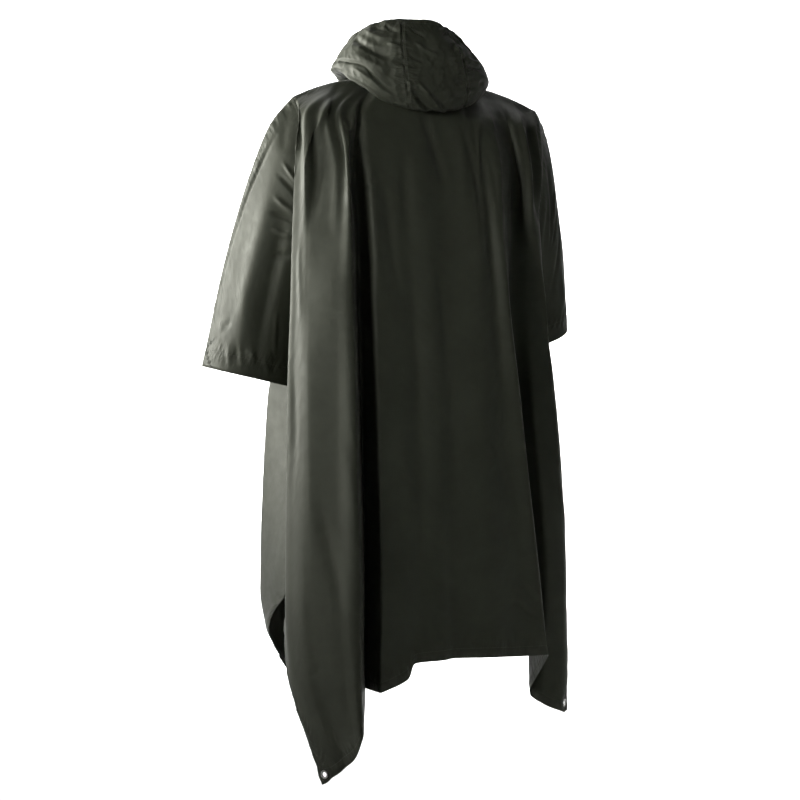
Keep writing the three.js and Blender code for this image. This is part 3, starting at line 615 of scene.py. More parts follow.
# Main creases of the back. A row is a crease's start and end as (fold, distance down), with the folds
# counted from the left edge, then its half width, its depth (raised or sunk) and its bow
BACK_CREASES = [
    ((3.0, 25), (2.9, 165), 10, -5.0, -4),
    ((4.7, 20), (3.7, 190), 9, 3.0, 4),
    ((5.6, 15), (5.0, 300), 12, -8.0, -8),
    ((6.3, 20), (5.9, 330), 9, 4.5, -5),
    ((6.9, 20), (6.4, 230), 8, -6.0, -4),
    ((7.3, 15), (7.0, 280), 8, 4.0, -3),
    ((7.9, 20), (7.7, 300), 9, -6.0, 4),
    ((8.33, 215), (9.44, 195), 4, -2.2, 3),
    ((9.1, 140), (9.2, 420), 11, 4.5, 4),
    ((9.9, 180), (10.2, 420), 12, -3.0, 5),
    ((12.7, 40), (13.2, 230), 11, -4.0, 5),
    ((13.7, 80), (13.5, 260), 9, 2.4, -6),
    ((14.1, 60), (14.2, 330), 8, -3.0, -7),
    ((15.9, 60), (14.4, 210), 7, 2.6, 5),
    ((16.0, 60), (16.6, 125), 4, -2.6, 3),
    ((15.5, 110), (15.9, 330), 8, -2.4, -5),
    ((16.5, 20), (16.0, 260), 8, 4.0, -5),
    ((17.9, 10), (17.4, 330), 11, -11.0, 5),
    ((18.9, 5), (18.4, 330), 9, 6.5, 7),
    ((19.7, 5), (19.5, 280), 11, -7.0, 9),
    ((20.4, 10), (20.1, 260), 8, 5.0, 6),
    ((20.8, 30), (20.7, 160), 6, -3.0, 3),
    ((11.6, 120), (11.2, 330), 14, -3.0, 7),
    ((12.2, 300), (12.5, 600), 15, -2.6, -7),
    ((11.2, 330), (11.0, 800), 17, -3.0, 6),
    ((13.5, 770), (14.5, 690), 8, 2.4, 5),
    ((14.1, 660), (14.8, 745), 7, -2.4, -4),
    ((15.5, 560), (14.6, 700), 8, 2.0, 4),
    ((13.9, 420), (14.2, 640), 14, -2.4, 6),
    ((14.6, 985), (15.8, 1045), 6, -2.4, 3),
    ((15.2, 930), (15.9, 985), 6, 2.0, -3),
    ((9.7, 640), (10.6, 880), 13, 2.0, -6),
    ((6.3, 640), (7.2, 860), 12, -2.0, -5),
    ((5.3, 760), (6.4, 1010), 14, -2.2, 6),
    ((3.0, 300), (3.9, 470), 9, 1.8, 5),
    ((2.4, 520), (3.2, 760), 11, -1.8, -6),
    ((3.9, 1085), (5.2, 1070), 5, -1.8, 3),
    ((18.6, 360), (19.6, 560), 10, -2.6, 5),
    ((18.4, 700), (19.6, 880), 10, 2.0, -6),
]


def panel_rows():
    """Distances down at which a panel has its rows of points, close together at the hem."""
    fine = np.linspace(HEM - HEM_FINE, HEM, HEM_FINE_ROWS)
    return np.concatenate([np.arange(0, HEM - HEM_FINE - HEM_FINE_GAP, ROW_STEP), fine])


def make_panel(name, folds, face, steps, creases, seed, eyelets):
    """A hanging panel: its folds, then its creases, seams and hems raised or sunk along the cloth."""
    downs = panel_rows()
    grid = panel_grid(folds, face, steps, downs) * MM
    flat = flat_points(grid)
    way = outward(grid)
    top = flat[..., 1]
    hem = flat[-1, :, 1][None, :] - flat[..., 1]
    first = flat[..., 0] - flat[:, :1, 0]
    last = flat[:, -1:, 0] - flat[..., 0]
    place = lambda fold, down: flat_place(flat, downs, steps, fold, down)
    relief = crease_depth(flat, creases, place)
    relief += soft_noise(flat, BROAD_SWELLS["size"], seed) * BROAD_SWELLS["height"]
    relief += soft_noise(flat, NARROW_SWELLS["size"], seed + 1) * NARROW_SWELLS["height"]
    handled = smooth_step(0.5 + 0.9 * soft_noise(flat, PANEL_HANDLED, seed + 2))
    relief += crinkle(flat, PANEL_CRINKLES["size"], seed + 3) * PANEL_CRINKLES["height"] * handled
    relief += seam_work(flat, top, flat[..., 0], seed + 6)
    relief += hem_work(flat, hem, flat[..., 0], HEM_BAND, seed + 7, pucker=1.5)
    free = (downs > SLIT)[:, None]
    for edge, k in ((first, 8), (last, 9)):
        sewn = seam_work(flat, edge, flat[..., 1], seed + k, ridge=0.4)
        turned = hem_work(flat, edge, flat[..., 1], SIDE_HEM_BAND, seed + k, pucker=1.8)
        relief += np.where(free, turned, sewn)
        relief *= np.where(free, 1, smooth_step(edge / SEAM_FADE))
    relief *= smooth_step(top / SEAM_FADE)
    grid = grid + relief[..., None] * way
    centres = [press_round_eyelet(grid, node) for node in eyelets]
    side_line = np.where(free, SIDE_HEM_BAND, SEAM_LINE + STITCH_INSET) - STITCH_INSET
    sewn = nearest_stitches([
        (hem - HEM_BAND + STITCH_INSET, flat[..., 0]), (top - SEAM_LINE, flat[..., 0]),
        (first - side_line, flat[..., 1]), (last - side_line, flat[..., 1]),
    ])
    piece = sheet_object(name + "_cloth", grid, flat, sewn)
    open_eyelets(piece, centres)
    finish_cloth(piece, name)


def open_eyelets(piece, centres):
    """Takes out the faces that lie inside each eyelet's barrel."""
    bm = bmesh.new()
    bm.from_mesh(piece.data)
    inside = []
    for centre in centres:
        for face in bm.faces:
            if (face.calc_center_median() - Vector(centre)).length < EYELET_CLEAR:
                inside.append(face)
    bmesh.ops.delete(bm, geom=inside, context="FACES")
    bm.to_mesh(piece.data)
    bm.free()


make_panel(
    "back_panel", BACK_FOLDS, 1, BACK_STEPS_PER_FOLD, BACK_CREASES, 11,
    ["eyelet_back_left", "eyelet_back_right"],
)


# Front panel
# Cut as the back is and sewn to it along the shoulders and down both sides as far as the slits.
# It hangs shorter and in softer folds, with its own turned hem and eyelets.

FRONT_STEPS_PER_FOLD = 8

# Folds of the front, from the wearer's right edge to the left edge
FRONT_FOLDS = [
    dict(
        fold="right edge", top=on_right(1), low=[-262, -118, -1035], hem=[-240, -132, -1104],
        at=[[0, 0], [0, 0], [0, 0], [-200, -15], [-225, -2], [-268, -12]],
    ),
    dict(
        fold="right hollow", top=on_right(0.85), low=[-258, -132, -1036], hem=[-238, -144, -1107],
        at=[[-232, -60], [-220, -98], [-203, -100], [-193, -70], [-216, -55], [-262, -60]],
    ),
    dict(
        fold="right arm ridge", top=on_right(0.68), low=[-250, -150, -1036], hem=[-232, -158, -1109],
        at=[[-206, -68], [-212, -106], [-208, -118], [-208, -118], [-222, -118], [-258, -122]],
    ),
    dict(
        fold="right arm flank", top=on_right(0.5), low=[-238, -168, -1038], hem=[-221, -173, -1109],
        at=[[-176, -66], [-196, -108], [-208, -132], [-214, -145], [-228, -154], [-250, -162]],
    ),
    dict(
        fold="right flute edge", top=on_right(0.36), low=[-208, -196, -1042], hem=[-197, -195, -1106],
        at=[[-156, -74], [-178, -122], [-192, -150], [-202, -166], [-216, -182], [-224, -192]],
    ),
    dict(
        fold="right valley", top=on_right(0.2), low=[-160, -150, -1045], hem=[-154, -154, -1102],
        at=[[-132, -70], [-150, -108], [-152, -124], [-156, -130], [-162, -138], [-166, -146]],
    ),
    dict(
        fold="right chest ridge", top=on_right(0), low=[-122, -196, -1040], hem=[-119, -196, -1097],
        at=[[-104, -92], [-118, -134], [-122, -156], [-122, -168], [-124, -182], [-126, -194]],
    ),
    dict(
        fold="soft right valley", top=on_neck(-138), low=[-72, -190, -1034], hem=[-71, -190, -1088],
        at=[[-72, -102], [-76, -138], [-78, -156], [-76, -167], [-74, -180], [-73, -190]],
    ),
    dict(
        fold="right middle ridge", top=on_neck(-118), low=[-34, -204, -1030], hem=[-34, -202, -1084],
        at=[[-38, -112], [-40, -150], [-38, -170], [-36, -182], [-35, -195], [-34, -205]],
    ),
    dict(
        fold="middle valley", top=on_neck(-92), low=[8, -196, -1028], hem=[8, -194, -1080],
        at=[[4, -110], [4, -144], [6, -163], [7, -175], [8, -187], [8, -196]],
    ),
    dict(
        fold="left middle ridge", top=on_neck(-66), low=[52, -206, -1030], hem=[50, -204, -1084],
        at=[[44, -113], [48, -150], [50, -169], [51, -182], [52, -196], [52, -206]],
    ),
    dict(
        fold="soft left valley", top=on_neck(-40), low=[88, -192, -1034], hem=[82, -190, -1092],
        at=[[82, -102], [86, -138], [88, -156], [88, -168], [88, -182], [89, -191]],
    ),
    dict(
        fold="left chest ridge", top=on_left(0), low=[124, -204, -1040], hem=[104, -200, -1106],
        at=[[108, -92], [122, -136], [126, -158], [127, -171], [128, -188], [128, -202]],
    ),
    dict(
        fold="left inner valley", top=on_left(0.16), low=[158, -160, -1045], hem=[116, -176, -1122],
        at=[[132, -74], [148, -112], [154, -132], [157, -140], [160, -150], [162, -157]],
    ),
    dict(
        fold="left flute edge", top=on_left(0.32), low=[204, -204, -1046], hem=[130, -198, -1140],
        at=[[158, -76], [180, -124], [192, -152], [198, -168], [208, -188], [212, -202]],
    ),
    dict(
        fold="left flute flank", top=on_left(0.42), low=[228, -194, -1048], hem=[138, -192, -1156],
        at=[[176, -72], [196, -116], [208, -144], [214, -158], [226, -180], [234, -194]],
    ),
    dict(
        fold="left chest flank", top=on_left(0.54), low=[242, -182, -1048], hem=[143, -186, -1170],
        at=[[198, -68], [210, -108], [218, -134], [224, -150], [240, -172], [250, -184]],
    ),
    dict(
        fold="left arm ridge", top=on_left(0.76), low=[252, -166, -1046], hem=[147, -181, -1184],
        at=[[224, -68], [218, -108], [216, -122], [220, -130], [250, -160], [262, -170]],
    ),
    dict(
        fold="left arm flank", top=on_left(0.91), low=[257, -148, -1044], hem=[150, -177, -1196],
        at=[[245, -58], [225, -100], [213, -106], [210, -100], [236, -120], [266, -140]],
    ),
    dict(
        fold="left hollow", top=on_left(0.96), low=[260, -134, -1042], hem=[152, -173, -1204],
        at=[[251, -52], [230, -94], [206, -96], [195, -66], [216, -60], [268, -75]],
    ),
    dict(
        fold="left edge", top=on_left(1), low=[262, -118, -1040], hem=[155, -168, -1210],
        at=[[0, 0], [0, 0], [0, 0], [200, -15], [220, 0], [265, -15]],
    ),
]

# Creases of the front, in rows like the back's, with the folds counted from the right edge
FRONT_CREASES = [
    ((7.4, 70), (9.0, 200), 9, -2.2, 5),
    ((11.8, 60), (10.4, 230), 10, -2.4, -5),
    ((5.2, 250), (6.4, 430), 11, 2.0, 6),
    ((13.0, 380), (12.2, 600), 12, -2.0, -6),
    ((9.2, 520), (9.8, 820), 14, 1.8, 6),
    ((3.4, 640), (4.6, 860), 9, -1.8, 4),
    ((16.4, 560), (15.2, 720), 9, -1.6, 4),
    ((18.6, 950), (19.6, 990), 5, -1.4, 2),
]

make_panel(
    "front_panel", FRONT_FOLDS, -1, FRONT_STEPS_PER_FOLD, FRONT_CREASES, 41,
    ["eyelet_front_right", "eyelet_front_left"],
)


# Half sleeves
# Each is one piece sewn into its armhole and closed by a seam along the top of the arm; it creases at the
# bend of the elbow and ends in a turned, stitched cuff.

SLEEVE_ROW_STEP = 5 * MM
SLEEVE_JOIN = 30 * MM
CUFF_BAND = 36 * MM
SLEEVE_SWELLS = dict(size=(0.07, 0.16), height=0.9 * MM)
SLEEVE_CRINKLES = dict(size=0.05, height=0.35 * MM)
SLEEVE_HANDLED = (0.12, 0.16)

# Sections from the armhole to the cuff: the overarm and underarm points, and half the depth between
LEFT_SLEEVE = [
    dict(over=[255, -5, -35], under=[200, -15, -420], half=ARMHOLE_HALF_DEPTH, turn=0),
    dict(over=[296, -12, -86], under=[208, -17, -441], half=76, turn=4),
    dict(over=[330, -32, -180], under=[215, -24, -468], half=74, turn=10),
    dict(over=[368, -70, -345], under=[229, -38, -522], half=68, turn=17),
    dict(over=[398, -113, -540], under=[246, -50, -578], half=60, turn=23),
]
RIGHT_SLEEVE = [
    dict(over=[-255, -5, -35], under=[-200, -15, -420], half=ARMHOLE_HALF_DEPTH, turn=0),
    dict(over=[-281, -12, -86], under=[-208, -17, -438], half=72, turn=-4),
    dict(over=[-298, -24, -170], under=[-216, -24, -453], half=70, turn=-9),
    dict(over=[-322, -42, -310], under=[-226, -34, -478], half=66, turn=-14),
    dict(over=[-338, -62, -452], under=[-240, -44, -506], half=60, turn=-19),
]

# Creases of a sleeve, in rows like the back's, with each end as (share of the way round from the overarm,
# share of the sleeve's length)
LEFT_SLEEVE_CREASES = [
    ((0.13, 0.3), (0.24, 0.16), 5, 3.6, 3),
    ((0.13, 0.38), (0.25, 0.22), 6, -3.6, -2),
    ((0.15, 0.45), (0.27, 0.28), 6, 4.4, 4),
    ((0.165, 0.52), (0.27, 0.34), 5, -4.0, -3),
    ((0.185, 0.55), (0.29, 0.39), 5, 3.8, 3),
    ((0.22, 0.6), (0.31, 0.46), 7, -3.0, 2),
    ((0.14, 0.3), (0.235, 1.0), 34, 6.0, -6),
    ((0.22, 0.36), (0.33, 1.0), 26, -6.0, -8),
    ((0.055, 0.16), (0.06, 0.99), 6, -5.0, 2),
    ((0.035, 0.12), (0.038, 0.99), 7, 2.4, -2),
    ((0.05, 0.12), (0.13, 0.26), 14, -1.6, 6),
    ((0.17, 0.06), (0.2, 0.26), 12, -2.4, -6),
    ((0.1, 0.9), (0.16, 0.86), 5, -2.6, 3),
    ((0.33, 0.7), (0.4, 0.9), 10, 2.4, 4),
    ((0.7, 0.1), (0.84, 0.46), 9, -3.0, -8),
    ((0.8, 0.34), (0.7, 0.42), 6, 4.0, 3),
    ((0.82, 0.46), (0.7, 0.52), 6, -3.6, -3),
    ((0.62, 0.3), (0.8, 0.66), 11, 2.4, 7),
    ((0.74, 0.62), (0.7, 0.88), 14, -2.6, 6),
]
RIGHT_SLEEVE_CREASES = [
    ((0.86, 0.06), (0.7, 0.44), 9, -3.0, -8),
    ((0.86, 0.34), (0.74, 0.38), 6, 3.8, 3),
    ((0.87, 0.48), (0.72, 0.46), 6, -3.4, 3),
    ((0.8, 0.1), (0.62, 0.36), 10, 2.2, 8),
    ((0.9, 0.5), (0.66, 0.7), 11, -2.4, -5),
    ((0.78, 0.66), (0.8, 0.9), 14, 2.4, 6),
    ((0.3, 0.16), (0.16, 0.5), 9, -2.6, 7),
    ((0.24, 0.44), (0.14, 0.5), 6, 3.4, -3),
    ((0.36, 0.4), (0.2, 0.7), 10, 2.0, -7),
]


def sleeve_grid(table, side, downs):
    """Rings of a sleeve; a ring's points follow the armhole's rows down the back and up the front."""
    top = downs[downs <= -ARMPIT["z"]]
    up = (armhole_height(top)[:, 0] - ARMPIT["z"]) / ARMHOLE_HALF_HEIGHT - 1
    turns = np.arccos(np.clip(up, -1, 1))
    ring = np.concatenate([turns, -turns[-2:0:-1], [0]])
    ring = ring if side > 0 else ring[::-1]
    stations = np.arange(len(table))
    over, under = (monotone(stations, [row[key] for row in table]) for key in ("over", "under"))
    depth, turn = (monotone(stations, [row[key] for row in table]) for key in ("half", "turn"))
    length = np.linalg.norm(np.subtract(table[-1]["over"], table[0]["over"])) * MM
    places = np.linspace(0, len(table) - 1, int(length / SLEEVE_ROW_STEP) + 1)
    yaw = np.radians(turn(places)[:, 0])
    back = np.stack([np.sin(yaw), np.cos(yaw), 0 * yaw], -1) * depth(places)
    share = ((np.cos(ring) + 1) / 2)[None, :, None]
    bulge = (np.sign(ring) * (1 - np.cos(ring) ** 2) ** ARMHOLE_END)[None, :, None]
    return mix(under(places)[:, None], over(places)[:, None], share) + bulge * back[:, None]


def make_sleeve(name, table, side, creases, seed):
    """A half sleeve: its tube, then its creases, overarm seam and cuff raised or sunk along the cloth."""
    grid = sleeve_grid(table, side, panel_rows()) * MM
    flat = flat_points(grid)
    flat[..., 0] += flat[0, -1, 0]
    way = outward(grid)
    way[:, 0] = way[:, -1] = way[:, 0] + way[:, -1]
    way[:, 0] /= np.linalg.norm(way[:, 0], axis=1, keepdims=True)
    way[:, -1] = way[:, 0]
    rows, columns = grid.shape[:2]

    def place(round_share, length_share):
        return flat[int(length_share * (rows - 1)), int(round_share * (columns - 1))]

    round_arm = flat[..., 0]
    over = np.minimum(round_arm - flat[:, :1, 0], flat[:, -1:, 0] - round_arm)
    cuff = flat[-1, :, 1][None, :] - flat[..., 1]
    joined = smooth_step(over / SLEEVE_JOIN)
    relief = crease_depth(flat, creases, place)
    relief += soft_noise(flat, SLEEVE_SWELLS["size"], seed) * SLEEVE_SWELLS["height"]
    handled = smooth_step(0.4 + 0.9 * soft_noise(flat, SLEEVE_HANDLED, seed + 2))
    relief += crinkle(flat, SLEEVE_CRINKLES["size"], seed + 1) * SLEEVE_CRINKLES["height"] * handled
    relief *= joined
    relief += seam_work(flat, over, flat[..., 1], seed + 4, pucker=1.8) * smooth_step(over / SEAM_FADE)
    relief += hem_work(flat, cuff, over, CUFF_BAND, seed + 5, pucker=1.9)
    relief *= smooth_step(flat[..., 1] / SEAM_FADE)
    grid = grid + relief[..., None] * way
    grid[:, -1] = grid[:, 0]
    sewn = nearest_stitches([
        (cuff - CUFF_BAND + STITCH_INSET, round_arm), (over - SEAM_LINE, flat[..., 1]),
        (flat[..., 1] - SEAM_LINE, round_arm),
    ])
    piece = sheet_object(name + "_cloth", grid, flat, sewn, closed=True)
    finish_cloth(piece, name)


make_sleeve("left_sleeve", LEFT_SLEEVE, 1, LEFT_SLEEVE_CREASES, 71)
make_sleeve("right_sleeve", RIGHT_SLEEVE, -1, RIGHT_SLEEVE_CREASES, 81)


# Hood
# Three panels of the same nylon, two sides and a centre strip, joined by puckered seams and sewn into the
# neck. It has fallen back: it rolls over at its foot and stands open round the neck, crumpled at the crown.

HOOD = dict(x=13, y=-10, across=159, deep=122, gap=1.2)
HOOD_ANGLES = [
    dict(angle=-172, roll=-36, wide=-28, shoulder=-16, rim=-4, reach=0.86, lean=0.93),
    dict(angle=-140, roll=-12, wide=-2, shoulder=6, rim=20, reach=0.86, lean=0.86),
    dict(angle=-90, roll=12, wide=18, shoulder=32, rim=55, reach=0.98, lean=0.72),
    dict(angle=-60, roll=-20, wide=8, shoulder=40, rim=78, reach=1, lean=0.68),
    dict(angle=-30, roll=-48, wide=-16, shoulder=48, rim=99, reach=1, lean=0.68),
    dict(angle=0, roll=-64, wide=-26, shoulder=52, rim=114, reach=1, lean=0.68),
    dict(angle=30, roll=-52, wide=-18, shoulder=54, rim=114, reach=1, lean=0.68),
    dict(angle=60, roll=-13, wide=10, shoulder=56, rim=104, reach=1, lean=0.72),
    dict(angle=90, roll=17, wide=26, shoulder=46, rim=88, reach=1, lean=0.76),
    dict(angle=140, roll=-12, wide=-2, shoulder=6, rim=22, reach=0.86, lean=0.86),
    dict(angle=172, roll=-36, wide=-28, shoulder=-16, rim=-4, reach=0.86, lean=0.93),
]
HOOD_SECTION = dict(fold=0.12, roll=0.3, wide=0.45, shoulder=0.75, rim=1)
HOOD_FOLD_OUT = 0.45
HOOD_FOLD_SUNK = 0.3
HOOD_ROLL_REACH = 0.9
HOOD_SHOULDER_REACH = 0.94
HOOD_SEAMS = dict(left=(15, 26), right=(-30, -22))
HOOD_ENDS = dict(left=(172, 172), right=(-172, -172))
HOOD_ROWS = 130
HOOD_SIDE_COLUMNS = 280
HOOD_CENTRE_COLUMNS = 80
RIM_BAND = 12 * MM
HOOD_SWELLS = dict(size=(0.04, 0.06), height=1.6 * MM)
HOOD_CRINKLES = dict(size=0.03, height=1.1 * MM)

# Creases of the hood, in rows like the back's, with each end as (share across from the panel's first edge,
# share of its section from the neck seam to the rim)
HOOD_LEFT_CREASES = [
    ((0.36, 0.93), (0.02, 0.7), 9, -6.0, 5),
    ((0.3, 0.985), (0.03, 0.84), 8, 4.0, 4),
    ((0.47, 0.6), (0.18, 0.55), 4, -3.5, -2),
    ((0.21, 0.57), (0.04, 0.4), 4.5, -5.0, 3),
    ((0.3, 0.52), (0.12, 0.44), 6, 2.6, 3),
    ((0.3, 0.66), (0.05, 0.58), 10, 3.2, -4),
    ((0.12, 0.97), (0.02, 0.88), 3.5, -3.5, 2),
    ((0.2, 0.96), (0.06, 0.9), 3.5, -2.6, -2),
    ((0.09, 0.8), (0.01, 0.76), 3, 3.0, 1),
    ((0.42, 0.4), (0.1, 0.36), 4, 4.0, 3),
    ((0.66, 0.5), (0.52, 0.82), 9, -3.4, 7),
    ((0.82, 0.46), (0.64, 0.8), 9, 3.0, -6),
    ((0.93, 0.5), (0.8, 0.84), 7, -2.8, 5),
]
HOOD_CENTRE_CREASES = [
    ((0.86, 0.52), (0.34, 0.28), 5, 7.0, 4),
    ((0.96, 0.46), (0.5, 0.25), 7, -9.0, 3),
    ((0.84, 0.82), (0.42, 0.72), 4, 4.0, 3),
    ((0.95, 0.72), (0.7, 0.66), 3.5, -3.4, 2),
    ((0.9, 0.92), (0.6, 0.85), 3.5, -3.0, -2),
    ((0.62, 0.9), (0.5, 0.6), 12, -2.4, 5),
    ((0.2, 0.55), (0.3, 0.9), 12, 2.0, 6),
    ((0.4, 0.56), (0.14, 0.4), 8, -2.0, 3),
]
HOOD_RIGHT_CREASES = [
    ((0.99, 0.68), (0.84, 0.65), 3.5, -6.0, 1),
    ((0.98, 0.74), (0.82, 0.72), 4.5, 4.5, 2),
    ((0.97, 0.93), (0.8, 0.7), 5, -5.5, -4),
    ((0.95, 0.97), (0.86, 0.84), 4, 4.5, 3),
    ((0.93, 0.84), (0.74, 0.9), 4, -3.4, 3),
    ((0.9, 0.6), (0.74, 0.5), 7, 2.8, 4),
    ((0.92, 0.5), (0.76, 0.42), 5, -2.6, -3),
    ((0.74, 0.9), (0.62, 0.56), 9, -3.4, -6),
    ((0.5, 0.5), (0.34, 0.82), 9, -2.8, -6),
    ((0.36, 0.46), (0.2, 0.8), 9, 2.8, 6),
    ((0.2, 0.5), (0.08, 0.84), 7, -2.6, 5),
]


def hood_grid(start, end, columns):
    """Points of a hood panel between two seams, each given as its angles at the foot and at the rim."""
    table = monotone([row["angle"] for row in HOOD_ANGLES], [
        [row[key] for key in ("roll", "wide", "shoulder", "rim", "reach", "lean")] for row in HOOD_ANGLES
    ])
    stations = [0] + list(HOOD_SECTION.values())
    grid = []
    for share in np.linspace(0, 1, HOOD_ROWS):
        angle = mix(mix(*start, share), mix(*end, share), np.linspace(0, 1, columns))
        roll_z, wide_z, shoulder_z, rim_z, reach, lean = table(angle).T
        seam = neck_point(90 - angle)
        a = np.radians(angle)

        def out(scale, z):
            x = HOOD["x"] + HOOD["across"] * scale * reach * np.sin(a)
            return np.stack([x, HOOD["y"] + HOOD["deep"] * scale * reach * np.cos(a), z], -1)

        roll = out(HOOD_ROLL_REACH, roll_z)
        first = seam + [0, 0, HOOD["gap"]]
        fold = mix(first, roll, HOOD_FOLD_OUT)
        fold[:, 2] = np.maximum(fold[:, 2], mix(first[:, 2], roll_z, HOOD_FOLD_SUNK))
        points = [first, fold, roll, out(1, wide_z), out(HOOD_SHOULDER_REACH, shoulder_z), out(lean, rim_z)]
        grid.append(monotone(stations, points)(share).reshape(columns, 3))
    return np.stack(grid)


def make_hood_panel(name, start, end, columns, creases, seed):
    """A panel of the hood: its roll, then its creases, seams and rim raised or sunk along the cloth."""
    grid = hood_grid(start, end, columns) * MM
    flat = flat_points(grid)
    way = outward(grid)
    rows = grid.shape[0]

    def place(across, section):
        return flat[int(section * (rows - 1)), int(across * (columns - 1))]

    edges = [flat[..., 0] - flat[:, :1, 0], flat[:, -1:, 0] - flat[..., 0]]
    rim = flat[-1, :, 1][None, :] - flat[..., 1]
    relief = crease_depth(flat, creases, place)
    relief += soft_noise(flat, HOOD_SWELLS["size"], seed) * HOOD_SWELLS["height"]
    relief += crinkle(flat, HOOD_CRINKLES["size"], seed + 1) * HOOD_CRINKLES["height"]
    for k, edge in enumerate(edges):
        relief += seam_work(flat, edge, flat[..., 1], seed + 4 + k, ridge=0.8, pucker=3.0)
        relief *= smooth_step(edge / SEAM_FADE)
    relief += hem_work(flat, rim, flat[..., 0], RIM_BAND, seed + 6)
    relief *= smooth_step(flat[..., 1] / SEAM_FADE)
    grid = grid + relief[..., None] * way
    sewn = nearest_stitches([
        (edges[0] - SEAM_LINE, flat[..., 1]), (edges[1] - SEAM_LINE, flat[..., 1]),
        (rim - RIM_BAND + STITCH_INSET, flat[..., 0]), (flat[..., 1] - SEAM_LINE, flat[..., 0]),
    ])
    piece = sheet_object(name + "_cloth", grid, flat, sewn)
    finish_cloth(piece, name)


make_hood_panel(
    "hood_left", HOOD_SEAMS["left"], HOOD_ENDS["left"], HOOD_SIDE_COLUMNS, HOOD_LEFT_CREASES, 101,
)
make_hood_panel(
    "hood_centre", HOOD_SEAMS["right"], HOOD_SEAMS["left"], HOOD_CENTRE_COLUMNS, HOOD_CENTRE_CREASES, 111,
)
make_hood_panel(
    "hood_right", HOOD_ENDS["right"], HOOD_SEAMS["right"], HOOD_SIDE_COLUMNS, HOOD_RIGHT_CREASES, 121,
)


# Corner eyelets
# A pressed aluminium eyelet, dulled to grey, in each hem corner. It is set by machine: its rolled rim stands
# on the outside, its washer on the inside.

EYELET_BORE = 4.6 * MM
EYELET_BARREL = 5.3 * MM
EYELET_RIM = 8 * MM
EYELET_GRIP = 0.6 * MM
EYELET_DOME = 1.2 * MM
EYELET_SIDES = 48
METAL_GREY = (0.42, 0.42, 0.4, 1)
TARNISH = (0.16, 0.155, 0.14, 1)


def eyelet_metal():
    """Dulled metal: darker, rougher tarnish in uneven patches."""
    material = bpy.data.materials.new("eyelet_metal")
    material.use_nodes = True
    tree = material.node_tree
    add = node_maker(material)
    shader = tree.nodes["Principled BSDF"]
    place = add("ShaderNodeTexCoord").outputs["Object"]
    tarnish = add("ShaderNodeTexNoise", {"Vector": place, "Scale": 320.0, "Detail": 5.0})
    shade = add("ShaderNodeMapRange", {"Value": tarnish.outputs["Fac"], "From Min": 0.35, "From Max": 0.65})
    base = add("ShaderNodeMix", {"Factor": shade.outputs["Result"]}, data_type="RGBA")
    base.inputs["A"].default_value = METAL_GREY
    base.inputs["B"].default_value = TARNISH
    tree.links.new(base.outputs["Result"], shader.inputs["Base Color"])
    gloss = add("ShaderNodeMapRange", {"Value": tarnish.outputs["Fac"], "To Min": 0.22, "To Max": 0.5})
    tree.links.new(gloss.outputs["Result"], shader.inputs["Roughness"])
    shader.inputs["Metallic"].default_value = 1.0
    return material


metal = eyelet_metal()


def make_eyelet(node):
    """Spins the eyelet's section about its axis, then sets it where its CAD node is."""
    points = np.array([v.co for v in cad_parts[node].data.vertices])
    centre = points.mean(axis=0)
    axis = Vector(np.linalg.svd(points - centre, full_matrices=False)[2][2])
    half = (EYELET_RIM - EYELET_BORE) / 2
    dome = [
        (EYELET_BORE + half + half * math.cos(a), EYELET_GRIP + EYELET_DOME * math.sin(a))
        for a in np.radians(np.linspace(180, 0, 9))
    ]
    section = dome + [(EYELET_BARREL, EYELET_GRIP), (EYELET_BARREL, -EYELET_GRIP)]
    section += [(r, -z) for r, z in reversed(dome)]
    bm = bmesh.new()
    verts = [bm.verts.new((r, 0, z)) for r, z in section]
    edges = [bm.edges.new((a, b)) for a, b in zip(verts, verts[1:] + verts[:1])]
    bmesh.ops.spin(
        bm, geom=verts + edges, cent=(0, 0, 0), axis=(0, 0, 1), angle=2 * math.pi, steps=EYELET_SIDES,
        use_merge=True, use_duplicate=False,
    )
    bmesh.ops.remove_doubles(bm, verts=bm.verts, dist=0.01 * MM)
    bmesh.ops.recalc_face_normals(bm, faces=bm.faces)
    turn = Vector((0, 0, 1)).rotation_difference(axis).to_matrix().to_4x4()
    bm.transform(Matrix.Translation(centre) @ turn)
    mesh = bpy.data.meshes.new(node + "_ring")
    bm.to_mesh(mesh)
    bm.free()
    mesh.shade_smooth()
    mesh.materials.append(metal)
    ring = bpy.data.objects.new(node + "_ring", mesh)
    bpy.context.scene.collection.objects.link(ring)
    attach(ring, "root")
    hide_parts(node)


for eyelet_node in ("eyelet_back_left", "eyelet_back_right", "eyelet_front_left", "eyelet_front_right"):
    make_eyelet(eyelet_node)


# Studio
# A round pale floor that sweeps up into a wall far behind, bright only where it backs the cloth. A soft lamp
# stands at the wearer's left, a weaker one at the left rear, and the camera is level with the waist.

FLOOR_Z = -1.5
SWEEP_RADIUS = 9.5
SWEEP_BEND = 2.5
SWEEP_TOP = 7.0
SWEEP_STEPS = 96
PAPER = (0.8, 0.8, 0.8, 1)
AIR_LIGHT = 0.02
CAMERA_AZIMUTH = math.radians(157)
CAMERA_Z = -0.604
CAMERA_DISTANCE = 4.0
CAMERA_ASIDE = -0.0346
CAMERA_LENS = 93.6


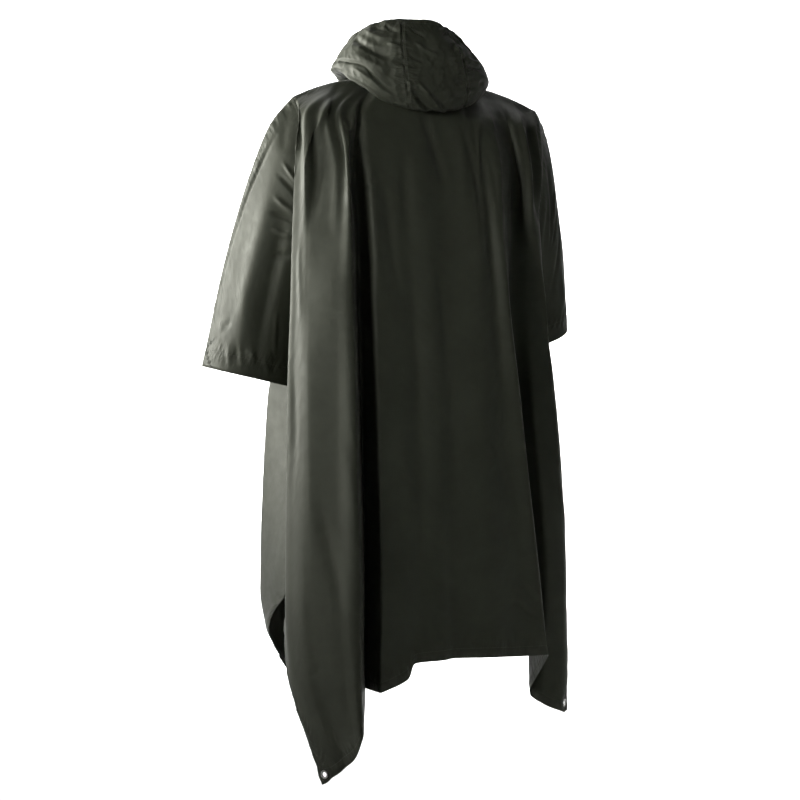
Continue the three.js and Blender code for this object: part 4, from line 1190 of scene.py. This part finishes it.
def studio_sweep():
    inner = SWEEP_RADIUS - SWEEP_BEND
    bend = [
        (inner + SWEEP_BEND * math.sin(a), SWEEP_BEND * (1 - math.cos(a)))
        for a in np.radians(np.arange(0, 91, 10))
    ]
    section = [(0.0, 0.0)] + bend + [(SWEEP_RADIUS, SWEEP_TOP)]
    bm = bmesh.new()
    verts = [bm.verts.new((r, 0, FLOOR_Z + z)) for r, z in section]
    edges = [bm.edges.new(pair) for pair in zip(verts, verts[1:])]
    bmesh.ops.spin(
        bm, geom=verts + edges, cent=(0, 0, 0), axis=(0, 0, 1), angle=2 * math.pi, steps=SWEEP_STEPS,
        use_merge=True, use_duplicate=False,
    )
    bmesh.ops.remove_doubles(bm, verts=bm.verts, dist=MM)
    mesh = bpy.data.meshes.new("studio_sweep")
    bm.to_mesh(mesh)
    bm.free()
    mesh.shade_smooth()
    paper = bpy.data.materials.new("studio_paper")
    paper.use_nodes = True
    paper.node_tree.nodes["Principled BSDF"].inputs["Base Color"].default_value = PAPER
    paper.node_tree.nodes["Principled BSDF"].inputs["Roughness"].default_value = 0.9
    mesh.materials.append(paper)
    sweep = bpy.data.objects.new("studio_sweep", mesh)
    bpy.context.scene.collection.objects.link(sweep)
    sweep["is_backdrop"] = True


studio_sweep()


def area_light(name, place, target, size, power, spread, colour=(1, 1, 1)):
    lamp = bpy.data.lights.new(name, "AREA")
    lamp.shape = "RECTANGLE"
    lamp.size, lamp.size_y = size
    lamp.energy = power
    lamp.spread = math.radians(spread)
    lamp.color = colour
    light = bpy.data.objects.new(name, lamp)
    light.location = place
    light.rotation_euler = (Vector(target) - Vector(place)).to_track_quat("-Z", "Y").to_euler()
    light.visible_camera = False
    bpy.context.scene.collection.objects.link(light)


area_light("key", (1.85, -1.05, 0.1), (0.2, 0, 0.08), (1.3, 1.3), 34, spread=64, colour=(1, 0.99, 0.97))
area_light("rear", (2.8, 1.4, 0.5), (0, 0, -0.1), (0.8, 0.8), 4.5, spread=46)
area_light("backdrop", (-2.3, -5.5, 2.6), (-3.7, -8.9, -0.4), (5.0, 1.2), 560, spread=120)
area_light("floor", (-1.6, -3.9, 3.4), (-1.5, -3.5, FLOOR_Z), (4.5, 3.0), 330, spread=95)

world = bpy.data.worlds.new("studio_air")
world.use_nodes = True
world.node_tree.nodes["Background"].inputs["Color"].default_value = (1, 1, 1, 1)
world.node_tree.nodes["Background"].inputs["Strength"].default_value = AIR_LIGHT
bpy.context.scene.world = world

lens = bpy.data.cameras.new("camera")
lens.lens = CAMERA_LENS
lens.sensor_width = 36
lens.clip_end = 50
camera = bpy.data.objects.new("camera", lens)
toward = Vector((math.sin(CAMERA_AZIMUTH), -math.cos(CAMERA_AZIMUTH), 0))
right = Vector((-toward.y, toward.x, 0))
camera.location = toward * CAMERA_DISTANCE + right * CAMERA_ASIDE + Vector((0, 0, CAMERA_Z))
camera.rotation_euler = (-toward).to_track_quat("-Z", "Y").to_euler()
bpy.context.scene.collection.objects.link(camera)
bpy.context.scene.camera = camera
bpy.context.scene.view_settings.view_transform = "Standard"

[[list(corner) for corner in box] for box in (cad_box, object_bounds())]
